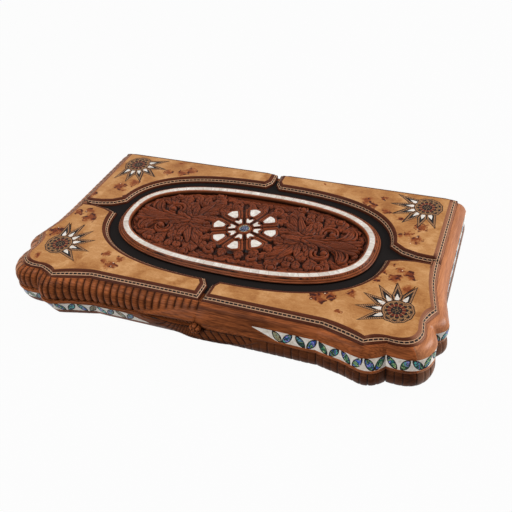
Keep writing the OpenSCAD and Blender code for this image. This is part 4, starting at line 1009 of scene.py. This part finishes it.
def build_plaque():
    u, v = np.linspace(0, 1, PLAQUE_GRID[0]), np.linspace(-1, 1, PLAQUE_GRID[1])
    x = (FIELD_A - FIELD_GAP) * (1 - (1 - u) ** 1.3)
    edge = (FIELD_B - FIELD_GAP) * (1 - (x / FIELD_A) ** MED_N) ** (1 / MED_N)
    x, y = np.broadcast_arrays(x[:, None], edge[:, None] * v[None, :])
    field = Relief(x, y)
    carve(field)
    h = np.where(np.hypot(x, y) < ROSETTE_SEAT, 0, np.clip(field.h, CARVING_FOOT, CARVING_TOP))
    # Painted shade in the carving's recesses, from how far each point lies below its surroundings; the underside is
    # fully shaded
    dark = 0.95 * np.maximum(shade_of(h, 2, 0.05, 0.6), shade_of(h, 7, 0.45, 1.5))
    top = np.stack([x, y, GROUND_Z + h], -1)
    under = np.stack([x[:, [-1, 0]], y[:, [-1, 0]], np.full((len(x), 2), TOP_Z - PANEL_H)], -1)
    points = np.concatenate([top, under], 1)
    dark = np.concatenate([dark, np.ones((len(x), 2))], 1)
    for side in ("right", "left"):
        bm = skin(on_side(points, side), painted_light=dark, closed=True, capped=True)
        finish_piece(bm, "carved_plaque_" + side, "lid", PLAQUE_WOOD, replaces=["carved_plaque"])


# Medallion frame, pearl ring and rosette
# Distance in from the medallion's edge, height and painted shade: steps, a carved rope, the pearl's seat, the inner rim
FRAME_SIDE = [
    (0, -PANEL_H, 1), (0, -4.9, 1), (0.35, -4.1, 0.5), (1.1, -3.6, 0.1), (1.75, -3.7, 0.4), (1.85, -4.1, 1),
    (2.1, -4.1, 1), (2.25, -3.3, 0.4), (2.9, -2.3, 0.1), (3.7, -1.9, 0.3), (3.95, -2.2, 1), (4.1, -1.2, 0.3),
    (4.5, -0.5, 0.1), (4.9, -0.35, 0.1), (5.1, -0.9, 1), (5.3, -0.9, 1), (5.5, -0.3, 0.2), (6.0, -0.05, 0),
    (6.45, -0.15, 0.1), (RING_OUT, -0.6, 0.6), (RING_IN, -0.6, 0.6), (RING_IN + 0.05, -0.15, 0.3),
    (RING_IN + 0.6, 0, 0), (FIELD_IN - 1.3, -0.1, 0), (FIELD_IN - 0.9, -0.6, 0.3), (FIELD_IN - 0.6, -2.4, 0.7),
    (FIELD_IN - 0.25, -3.2, 0.9), (FIELD_IN - 0.15, -PANEL_H, 1)]
ROPE_PITCH = 2.6
PETALS = 8
ROSETTE_R, ROSETTE_TOP = 43.0, TOP_Z - 0.8
ROSETTE_GRID = 48, 96  # steps round each petal and out to the edge
CABOCHON_R, CABOCHON_HALF = 6.3, (5.6, 6.2, 1.5)  # radius of the cabochon's seat, and the stone's half sizes
PETAL_HALF = [(25.2, 1.9), (29, 4.1), (36.0, 6.5), (37.4, 5.0), (38.9, 0)]
HEART_HALF = [(11.6, 1.7), (14.4, 3.1), (18.5, 4.2), (19.2, 3.3), (16.8, 0)]
PETAL, HEART = ([(x, -y) for x, y in half] + half[-2::-1] for half in (PETAL_HALF, HEART_HALF))
CABOCHON_RING = [(5.2, -0.8), (5.4, 0.35), (6.1, 0.5), (6.7, 0.2), (6.8, -0.8)]  # radius and height


def oval_rings(side, n=360):
    """Rings round the medallion at each (distance in, height), and the path length along the first of them."""
    t = np.linspace(0, 360, n + 1)
    t = t + 4 * np.sin(np.radians(4 * t))
    rings = [np.concatenate([oval(MED_A - d, MED_B - d, MED_N, t), np.full((n + 1, 1), TOP_Z + z)], 1) for d, z in side]
    rings = np.stack(rings, 1)
    return rings, path_length(rings[:, 0, :2])


def build_medallion():
    rings, along = oval_rings([(d, z) for d, z, _ in FRAME_SIDE])
    rope = np.array([z > -3.4 and 4.0 < d < 5.0 for d, z, _ in FRAME_SIDE])
    turns = round(along[-1] / ROPE_PITCH)
    phase = np.abs(np.sin(np.pi * turns * along / along[-1]))[:, None]
    # Painted shade between the rope's twists, and down the frame's steps from the table
    dark = np.where(rope, np.clip(1.1 - phase, 0, 1), np.array([side[2] for side in FRAME_SIDE]))
    bm = skin(rings, painted_light=dark, closed=True, ring=True)
    finish_piece(bm, "stepped_medallion_frame", "lid", FRAME_WOOD, replaces=["medallion_frame"])
    side = [(RING_OUT + 0.02, -0.7), (RING_OUT + 0.05, -0.05), (RING_OUT + 0.3, 0), (RING_IN - 0.3, 0),
            (RING_IN - 0.05, -0.05), (RING_IN - 0.02, -0.7)]
    rings, along = oval_rings(side)
    whole = round(along[-1] / TILE) * TILE
    bm = skin(rings, uv=pattern_uv(along * whole / along[-1], np.linspace(0, 1, len(side))), ring=True)
    finish_piece(bm, "pearl_tile_ring", "lid", PEARL_TILES, replaces=["pearl_ring"])


def to_edge(x, y, corners):
    """Distance from points to a polygon's edge, negative inside."""
    c = np.array(corners)
    best, inside = np.full(x.shape, 1e9), np.zeros(x.shape, bool)
    for a, b in zip(c, np.roll(c, -1, 0)):
        e = b - a
        t = np.clip(((x - a[0]) * e[0] + (y - a[1]) * e[1]) / (e @ e), 0, 1)
        best = np.minimum(best, np.hypot(x - a[0] - t * e[0], y - a[1] - t * e[1]))
        inside ^= ((a[1] > y) != (b[1] > y)) & (x < e[0] * (y - a[1]) / (b[1] - a[1] + 1e-12) + a[0])
    return np.where(inside, -best, best)


def build_rosette():
    """Eight arms round a seat for the cabochon, with grooves, pits and rims round the petals' beds."""
    sector = math.pi / PETALS
    turns = np.linspace(0, 2 * math.pi, PETALS * ROSETTE_GRID[0] + 1)[:, None]
    share = np.concatenate([np.linspace(0.1, 1, ROSETTE_GRID[1]), [1.012, 1.02]])[None, :]
    cell = (turns + sector) % (2 * sector) - sector
    reach = ROSETTE_R - 4.2 * np.abs(cell / sector) ** 2.4
    r = reach * share
    x, y = r * np.cos(cell), r * np.sin(cell)
    petal, heart = to_edge(x, y, PETAL), to_edge(x, y, HEART)
    inlay = np.minimum(petal, heart)
    gully = r * np.sin(sector - np.abs(cell))
    pit = np.hypot((x - 22.2) / 1.5, y / 2.0)
    rim = 0.8 * ridge(petal, 1.3, 1.0) + 0.6 * ridge(heart, 1.0, 0.8)
    outer = step_up(r, 9.6, 11)
    cut = (1.3 * ridge(gully, 0.95, 0.5) + 0.7 * ridge(gully, 0, 1.0)) * outer
    cut = cut + 1.7 * ridge(pit, 0, 0.9) + 1.0 * ridge(r, 9.4, 0.6)
    cut = cut + 0.9 * ridge(np.minimum(petal, heart + 0.5), 3.1, 0.6) * outer * (gully > 1.2)
    back = 0.5 * ridge(gully, 0, 0.35) * outer * step_up(r, 16, 20)
    edge = step_up(reach - r, 0.0, 1.6)
    h = np.where(inlay < 0, -0.35, rim - cut + back) * edge + 1.4 * (edge - 1) + 0.5 * ridge(r, 7.3, 1.0)
    h = np.where(r < CABOCHON_R, -0.6, h)
    h[:, -2:] = -3.9
    # Painted shade in the grooves, pits and round the outer edge, less on the ridges, with a dark line round the inlays
    dark = np.clip(cut - 0.5 * back + 0.9 * (1 - edge) + 0.55 * ridge(inlay, 0.1, 0.4), 0, 1)
    points = np.stack([r * np.cos(turns), r * np.sin(turns), ROSETTE_TOP - 0.35 + np.minimum(h, 0.9)], -1)
    bm = skin(points, painted_light=dark, ring=True, capped=True)
    finish_piece(bm, "carved_rosette", "lid", CARVED, replaces=["rosette_frame"])


def build_rosette_shells():
    bm = bmesh.new()
    for i in range(PETALS):
        for corners, top in ((PETAL, 0.0), (HEART, -0.05)):
            tile(bm, turned(corners, i * 360 / PETALS), ROSETTE_TOP - 2, ROSETTE_TOP + top, [(0.35, 0)], 0, drop=0.12)
    finish_piece(bm, "pearl_petals", "lid", SHELL, smooth=False, replaces=["rosette_pearls"])
    t = np.linspace(0, 2 * math.pi, 49)[:, None]
    r, z = np.array(CABOCHON_RING).T[:, None]
    bm = skin(np.stack([r * np.cos(t), r * 1.05 * np.sin(t), z + ROSETTE_TOP - 0.4 + 0 * t], -1), ring=True)
    finish_piece(bm, "cabochon_ring", "lid", PALE_ABALONE)
    bm = bmesh.new()
    bmesh.ops.create_uvsphere(bm, u_segments=40, v_segments=20, radius=1)
    a, b, c = CABOCHON_HALF
    for vert in bm.verts:
        x, y, z = vert.co
        vert.co = Vector((x * a, y * b, max(z, -0.2) * c + ROSETTE_TOP - 0.7)) * MM
    finish_piece(bm, "domed_cabochon", "lid", CABOCHON, replaces=["abalone_cabochon"])


# Flat inlay
def polar(r, a):
    return (r * math.cos(math.radians(a)), r * math.sin(math.radians(a)))


def turned(corners, degrees, place=(0, 0)):
    """Corners turned about the origin and moved to a place."""
    c, d = polar(1, degrees)
    return [(place[0] + c * x - d * y, place[1] + d * x + c * y) for x, y in corners]


def facing(face, way):
    """Turns a face so that it looks up for way 1 and down for way -1."""
    face.normal_update()
    if face.normal.z * way < 0:
        face.normal_flip()


def tile(bm, corners, low, top, rims, fill, drop=0.0):
    """Adds a flat inlay from low to top. Each rim is a width and a finish, and the first falls away by drop."""
    layer = bm.loops.layers.uv.get("pattern") or bm.loops.layers.uv.new("pattern")
    face = bm.faces.new([bm.verts.new((x * MM, y * MM, low * MM)) for x, y in corners])
    facing(face, -1)
    grown = bmesh.ops.extrude_face_region(bm, geom=[face], use_keep_orig=True)["geom"]
    raised = [g for g in grown if isinstance(g, bmesh.types.BMVert)]
    bmesh.ops.translate(bm, vec=(0, 0, (top - low) * MM), verts=raised)
    upper = next(g for g in grown if isinstance(g, bmesh.types.BMFace))
    facing(upper, 1)
    for edge in upper.edges:
        for side in edge.link_faces:
            side.material_index = rims[0][1] if rims else fill
    for width, finish in rims:
        before = set(upper.verts)
        ring = bmesh.ops.inset_individual(bm, faces=[upper], thickness=width * MM, depth=drop * MM,
                                          use_even_offset=True)["faces"]
        drop = 0.0
        for band in ring:
            band.material_index = finish
            outer = [e for e in band.edges if e.verts[0] in before and e.verts[1] in before]
            start, end = [v.co for v in outer[0].verts] if outer else (Vector(), Vector((1, 0, 0)))
            way = (end - start).normalized()
            for loop in band.loops:
                loop[layer].uv = ((loop.vert.co - start).dot(way) / MM, 0.0 if loop.vert in before else 1.0)
    upper.material_index = fill


# Corner stars
SPIKES_FRONT, SPIKES_BACK = (72, 101, 128.5, 156, 185, 215), (154, 183, 211.5, 239.5, 266, 293)  # ways, in degrees
STAR_FRONT, STAR_BACK = (HALF_W - 17.5, -HALF_D + 30.5), (HALF_W - 23.2, HALF_D - 22.8)
STAR_R, SPIKE_LEN, SCALLOP_DEEP, SPIKE_HALF = 18.4, 42.4, 2.2, 6.5
SEAT_LEN = SPIKE_LEN + 3.4  # length of the spikes' dark seat
SPIKE_FOOT, INNER_RING, RING_TURN = 13, 14.8, 22
STAR_LOW, STAR_TOP = TOP_Z - 0.8, TOP_Z + 0.03
SCALLOPS = 12
SPIKE_RIMS = [(0.75, OUTLINE_WOOD), (1.6, HATCHED), (0.4, OUTLINE_WOOD)]
DISC_RIMS = [(1.0, OUTLINE_WOOD), (1.7, HATCHED), (0.5, OUTLINE_WOOD)]
TEAR = [(15.2, -1.7), (17.4, -2.5), (24.6, 0), (17.4, 2.5), (15.2, 1.7)]
MOON = [(-1.4, -2.9), (-0.2, -2.4), (0.9, -1.2), (1.3, 0), (0.9, 1.2), (-0.2, 2.4), (-1.4, 2.9), (-0.7, 0)]
RED_PETAL = [(4.6, -0.9), (8.6, -1.9), (9.6, -1.9), (9.6, 1.9), (8.6, 1.9), (4.6, 0.9)]
PETAL_CAP = [(8.7, -1.9), (10.6, -2.3), (11.9, 0), (10.6, 2.3), (8.7, 1.9), (9.4, 0)]


def valley(half, length=SPIKE_LEN):
    """Distance from the star's middle to the valley between two spikes that stand 2 half degrees apart."""
    slope = SPIKE_HALF / (SPIKE_LEN - STAR_R)
    return max(STAR_R, slope * length / (math.tan(math.radians(half)) + slope) / math.cos(math.radians(half)))


def spike(right, left):
    """Corners of a spike that points along x, cut along the valleys to its neighbours where it has them."""
    foot, wide = SPIKE_FOOT, SPIKE_HALF * (SPIKE_LEN - SPIKE_FOOT) / (SPIKE_LEN - STAR_R)
    low = [polar(foot, -right), polar(valley(right), -right)] if right else [(foot, -wide)]
    high = [polar(valley(left), left), polar(foot, left)] if left else [(foot, wide)]
    return low + [(SPIKE_LEN, 0)] + high


def star_outline(spikes):
    """Corners of the star's seat: spikes, the valleys between them and the scalloped free side of the disc."""
    corners = [polar(SEAT_LEN, spikes[0])]
    for a, b in zip(spikes, spikes[1:]):
        corners += [polar(valley((b - a) / 2, SEAT_LEN), (a + b) / 2), polar(SEAT_LEN, b)]
    corners.append(polar(STAR_R - SCALLOP_DEEP, spikes[-1] + 15))
    for a in range(20, int(spikes[0] + 340 - spikes[-1]) + 1, 5):
        scallop = abs(math.sin(math.radians(SCALLOPS / 2 * a))) ** 3
        corners.append(polar(STAR_R - SCALLOP_DEEP * scallop, a + spikes[-1]))
    return corners


def scalloped_disc(free):
    """The disc from the last spike on, scalloped on its free side and cut back to the inner ring under the spikes."""
    degrees = np.arange(0, 360, 5)
    angles = np.radians(degrees)
    reach = STAR_R + 0.1 - 0.7 * np.abs(np.sin(SCALLOPS / 2 * angles)) ** 1.5
    share = step_up(degrees, 0, RING_TURN) * (1 - step_up(degrees, free - RING_TURN, free))
    reach = INNER_RING + (reach - INNER_RING) * share
    return list(zip(reach * np.cos(angles), reach * np.sin(angles)))


def build_star(place, spikes):
    bm = bmesh.new()

    def inlay(corners, degrees, lift, fill, rims=(), middle=place):
        tile(bm, turned(corners, degrees, middle), STAR_LOW, STAR_TOP + lift, rims, fill)

    def dot(r, a, radius, segments, lift, fill, rims=()):
        corners = [polar(radius, 360 * i / segments) for i in range(segments)]
        inlay(corners, 0, lift, fill, rims, turned([(r, 0)], a, place)[0])

    inlay(star_outline(spikes), 0, -0.05, OUTLINE_WOOD)
    halves = [None] + [(b - a) / 2 for a, b in zip(spikes, spikes[1:])] + [None]
    for a, right, left in zip(spikes, halves, halves[1:]):
        inlay(spike(right, left), a, 0, BLACK, SPIKE_RIMS)
        inlay(TEAR, a, 0.03, WHITE)
    last, free = spikes[-1], 360 - spikes[-1] + spikes[0]
    inlay(scalloped_disc(free), last, 0.015, TAN, DISC_RIMS)
    pitch = 360 // SCALLOPS
    for a in range(pitch, int(free - 15) // pitch * pitch + 1, pitch):
        inlay(MOON, last + a, 0.03, BLACK, middle=turned([(14.0, 0)], last + a, place)[0])
    dot(0, 0, 12.4, 48, 0.045, TAN, [(0.5, OUTLINE_WOOD)])
    for k in range(SCALLOPS):
        inlay(RED_PETAL, pitch * k + 15, 0.06, RED, [(0.25, BLACK)])
        inlay(PETAL_CAP, pitch * k + 15, 0.07, BLACK)
    dot(0, 0, 5.7, 24, 0.08, BLACK)
    for a in range(0, 360, 60):
        dot(1.6, a, 0.5, 6, 0.09, TAN)
        dot(3.6, a + 30, 0.55, 6, 0.1, TAN)
    return bm


def build_stars():
    for where, place, spikes in (("front", STAR_FRONT, SPIKES_FRONT), ("back", STAR_BACK, SPIKES_BACK)):
        for side in ("right", "left"):
            name = "star_%s_%s" % (where, side)
            bm = build_star(place, spikes)
            if side == "left":
                bmesh.ops.scale(bm, vec=(-1, 1, 1), verts=bm.verts)
                bmesh.ops.reverse_faces(bm, faces=bm.faces)
            covers = ["corner_" + name] + (["star_pearls"] if name == "star_front_right" else [])
            finish_piece(bm, "inlaid_" + name, "lid", STAR_FINISH, smooth=False, replaces=covers)


# Thumb bud
BUD_R, BUD_LEN = 6.6, 7.4
BUD_PLACE = (0, -HALF_D - 1.03 * (BULGE + LEAF_SWELL) + 0.4, PART_Z + 2.5)


def build_bud():
    """A carved flower bud: five petals folded round a small eye, with deep cuts between them."""
    x, y, z = BUD_PLACE
    turns = np.linspace(0, 2 * math.pi, 101)[:, None]
    share = np.linspace(0.02, 1, 30)[None, :]
    lobe = np.abs(np.cos(2.5 * turns))
    r = BUD_R * (0.8 + 0.2 * lobe ** 0.7) * share
    cut = (1 - lobe) ** 3 * step_up(share, 0.16, 0.4)
    stand = 1.2 + (BUD_LEN - 1.6) * np.sqrt(1 - 0.92 * share ** 2.4) - 2.0 * cut
    stand = stand - 1.3 * ridge(share, 0.3, 0.1) + 0.5 * lobe ** 4 * ridge(share, 0.62, 0.22)
    points = np.stack([x + r * np.sin(turns), y - stand, z + r * np.cos(turns)], -1)
    foot = points[:, -1:].copy()
    foot[..., 1] = y + 0.1
    # Painted shade in the cuts between the petals and round the eye, full on the hidden foot
    dark = np.clip(1.1 * cut + 0.8 * ridge(share, 0.3, 0.09), 0, 1)
    dark = np.concatenate([dark, np.ones((len(turns), 1))], 1)
    bm = skin(np.concatenate([points, foot], 1), painted_light=dark, ring=True, capped=True)
    finish_piece(bm, "carved_thumb_bud", "lid", RAIL_WOOD, replaces=["thumb_bud"])


# Shell bands with abalone lenses
# Where each lens stands along the rail's crest, from the middle of the front, and which lenses are pale
LID_LENSES = [90, 101, 115, 127, 139.8, 152.4, 165.6, 178, 190.5, 201.2, 214, 227.5, 240, 251]
BASE_LENSES = [85.2, 97.2, 110.4, 122, 133.6, 147, 160.4, 173.7, 186.5, 199, 213.4, 223.5, 234]
PALE_LENSES = (90, 97.2, 133.6)
LENS_LONG, LENS_WIDE, LENS_LEAN, LENS_PITCH = 15.0, 6.7, math.radians(41), 11.8
LENS_CLEAR = 5  # length at the hinge side without a lens
BAND_MID = -BAND_TOP - BAND_H / 2


def on_rail(s, out, z):
    """Points at path lengths s, standing out from the burl's edge, at height z."""
    flat_s, flat_z = np.ravel(s), np.ravel(z)
    rows, _ = outline.at(flat_s)
    on_band = np.clip(flat_z, 0.01 - BAND_FOOT, -0.01 - BAND_TOP)
    face = drawn_in(leaned(np.full(flat_s.size, BULGE), on_band, flat_s), flat_s)
    flat = rows[:, :2] + rows[:, 2:] * (face + np.ravel(out) - BULGE)[:, None]
    return in_box(np.concatenate([flat, (TOP_Z + flat_z)[:, None]], 1)).reshape(np.shape(s) + (3,))


def lens(at, lean, half_long, half_wide, out):
    """Rings of one lens laid on the band: out is how far its face stands out."""
    u = np.linspace(-1, 1, 11)[:, None]
    v = np.array([-1, -1, -0.5, 0, 0.5, 1, 1])[None, :]
    sunk = np.array([0.5, 0.04, 0.01, 0, 0.01, 0.04, 0.5])[None, :]
    along, across = half_long * u + 0 * v, half_wide * (1 - u ** 2) ** 0.8 * v
    s = at + lean * math.sin(LENS_LEAN) * along + math.cos(LENS_LEAN) * across
    z = BAND_MID + math.cos(LENS_LEAN) * along - lean * math.sin(LENS_LEAN) * across
    return on_rail(s, out - sunk + 0 * s, z)


def band_strip(lo, hi, front):
    """Rings of the pearl ground, sunk at its edges, and its pattern coordinates."""
    s = outline.stations(lo, hi, 1.2)
    low = band_low(s, front) + 0 * s
    share = np.array([0, 0, 0.25, 0.5, 0.75, 1, 1])
    sunk = np.array([0.7, 0.03, 0.03, 0.03, 0.03, 0.03, 0.7])
    z = -BAND_TOP - 0.15 + (low + BAND_TOP + 0.2)[:, None] * share
    return on_rail(s[:, None] + 0 * z, BULGE - sunk[None, :] + 0 * z, z), pattern_uv(s, share)


def build_bands():
    corner, end = outline.corner, outline.end
    for body, lenses, lean in (("lid", LID_LENSES, -1), ("base", BASE_LENSES, 1)):
        for name, lo, hi in (("front", BAND_START + 0.3, corner), ("side", corner, end)):
            points, uv = band_strip(lo, hi, name == "front")
            finish_piece(skin(on_body(points, body), uv=uv), "shell_strip_%s_%s" % (body, name), body, BAND_PEARL,
                         smooth=False, replaces=["%s_shell_band_%s" % (body, name)])
        more = lenses[-1] + LENS_PITCH * np.arange(1, 40)
        pieces = []
        for at in lenses + [place for place in more if place < end - LENS_CLEAR]:
            rim = lens(at, lean, LENS_LONG / 2 + 0.6, LENS_WIDE / 2 + 0.5, BULGE + 0.05)
            eye = lens(at, lean, LENS_LONG / 2 - 1.3, LENS_WIDE / 2 - 0.45, BULGE + 0.1)
            pieces += [(skin(on_body(rim, body), closed=True), 0),
                       (skin(on_body(eye, body), closed=True), 2 if at in PALE_LENSES else 1)]
            lean = -lean
        bm = join(pieces)
        bmesh.ops.recalc_face_normals(bm, faces=bm.faces)
        finishes = [STAR_FINISH[BLACK], ABALONE, PALE_ABALONE]
        finish_piece(bm, "abalone_lenses_" + body, body, finishes, smooth=False)


# Pips of the dice in the rack
DIE_W, DIE_MIDDLES, DIE_Y, DIE_Z = 12.0, (-63.0, 63.0), IN_FRONT + 15, 12.05 + 6.0
PIP_R, PIP_PITCH = 0.95, 2.3
PIPS = {1: [(0, 0)], 2: [(-1, -1), (1, 1)], 3: [(-1, -1), (0, 0), (1, 1)],
        5: [(-1, -1), (-1, 1), (0, 0), (1, -1), (1, 1)]}
QUARTER = math.pi / 2
DIE_FACES = [(5, (0, 0, 0)), (3, (QUARTER, 0, 0)), (1, (0, QUARTER, 0)), (2, (0, -QUARTER, 0))]  # top, front, ends


def build_pips():
    bm = bmesh.new()
    for x in DIE_MIDDLES:
        for number, turn in DIE_FACES:
            face = Matrix.Translation(Vector((x, DIE_Y, DIE_Z)) * MM) @ Euler(turn).to_matrix().to_4x4()
            for u, v in PIPS[number]:
                place = face @ Matrix.Translation(Vector((PIP_PITCH * u, PIP_PITCH * v, DIE_W / 2 + 0.03)) * MM)
                bmesh.ops.create_circle(bm, cap_ends=True, segments=16, radius=PIP_R * MM, matrix=place)
    finish_piece(bm, "dice_pips", "base", STAR_FINISH[BLACK], smooth=False)


# Camera, floor and light
CAMERA_PLACE, CAMERA_LENS = (299.99, -607.58, 560.42), 50.588
CAMERA_ANGLES = [math.radians(a) for a in (25.416, 38.717, -6.037)]  # azimuth, elevation, roll
# Name, place, size and power of each lamp, and the point that all of them face
LAMPS = [("window light", (2.3, 1.1, 1.3), (1.3, 1.1), 86), ("front light", (-1.0, -1.1, 1.3), (0.7, 0.7), 20),
         ("top light", (-0.3, 0.5, 1.6), (1.0, 1.0), 4)]
LAMP_AIM = (0, 0, 0.03)
SKY_LIGHT, FLOOR_GREY, FLOOR_WHITE = 0.18, 0.3, 0.965


def show(name, data):
    """Puts a mesh, camera or lamp into the scene."""
    thing = bpy.data.objects.new(name, data)
    bpy.context.scene.collection.objects.link(thing)
    return thing


def camera():
    """The photograph's camera: a 50.6 mm lens on a square frame, turned a little about its axis."""
    azimuth, elevation, roll = CAMERA_ANGLES
    back = Vector((math.sin(azimuth) * math.cos(elevation), -math.cos(azimuth) * math.cos(elevation),
                   math.sin(elevation)))
    right = Vector((math.cos(azimuth), math.sin(azimuth), 0))
    up = back.cross(right)
    side = math.cos(roll) * right + math.sin(roll) * up
    top = -math.sin(roll) * right + math.cos(roll) * up
    data = bpy.data.cameras.new("camera")
    data.lens, data.sensor_width, data.sensor_fit = CAMERA_LENS, 36.0, "HORIZONTAL"
    data.clip_start, data.clip_end = 0.01, 20
    cam = show("camera", data)
    turn = Matrix((side, top, back)).transposed().to_4x4()
    cam.matrix_world = Matrix.Translation(Vector(CAMERA_PLACE) * MM) @ turn
    bpy.context.scene.camera = cam


def background_ray(tree):
    """1 for a ray from the camera, a mirror or a glass, which shows the background white; 0 for light on the object."""
    seen = node(tree, "LightPath").outputs
    either = calc(tree, "MAXIMUM", seen["Is Camera Ray"], seen["Is Glossy Ray"])
    return calc(tree, "MAXIMUM", either, seen["Is Transmission Ray"])


def stage():
    """A pale floor that keeps the object's shadow."""
    bm = bmesh.new()
    bmesh.ops.create_grid(bm, x_segments=1, y_segments=1, size=6)
    mesh = bpy.data.meshes.new("floor")
    bm.to_mesh(mesh)
    bm.free()
    floor = show("floor", mesh)
    mat = bpy.data.materials.new("floor")
    tree = bare_tree(mat)
    diffuse = node(tree, "BsdfDiffuse", {"Color": (FLOOR_GREY, FLOOR_GREY, FLOOR_GREY, 1)}).outputs[0]
    glow = node(tree, "Emission", {"Color": (1, 1, 1, 1), "Strength": 1.0}).outputs[0]
    part = times(tree, background_ray(tree), FLOOR_WHITE)
    both = node(tree, "MixShader", {0: part, 1: diffuse, 2: glow}).outputs[0]
    node(tree, "OutputMaterial", {0: both})
    mesh.materials.append(mat)


def lights():
    for name, place, size, power in LAMPS:
        data = bpy.data.lights.new(name, "AREA")
        data.shape, data.size, data.size_y, data.energy = "RECTANGLE", size[0], size[1], power
        lamp = show(name, data)
        lamp.location = place
        lamp.rotation_euler = (Vector(LAMP_AIM) - Vector(place)).to_track_quat("-Z", "Y").to_euler()
    world = bpy.data.worlds.new("world")
    bpy.context.scene.world = world
    tree = bare_tree(world)
    level = span(tree, background_ray(tree), 0.0, 1.0, SKY_LIGHT, 1.0)
    sky = node(tree, "Background", {"Color": (1, 1, 1, 1), "Strength": level}).outputs[0]
    node(tree, "OutputWorld", {0: sky})
    bpy.context.scene.view_settings.view_transform = "Standard"


dress_nodes()
build_rails()
build_mouldings()
build_plaque()
build_medallion()
build_rosette()
build_rosette_shells()
build_stars()
build_bud()
build_bands()
build_pips()
camera()
stage()
lights()
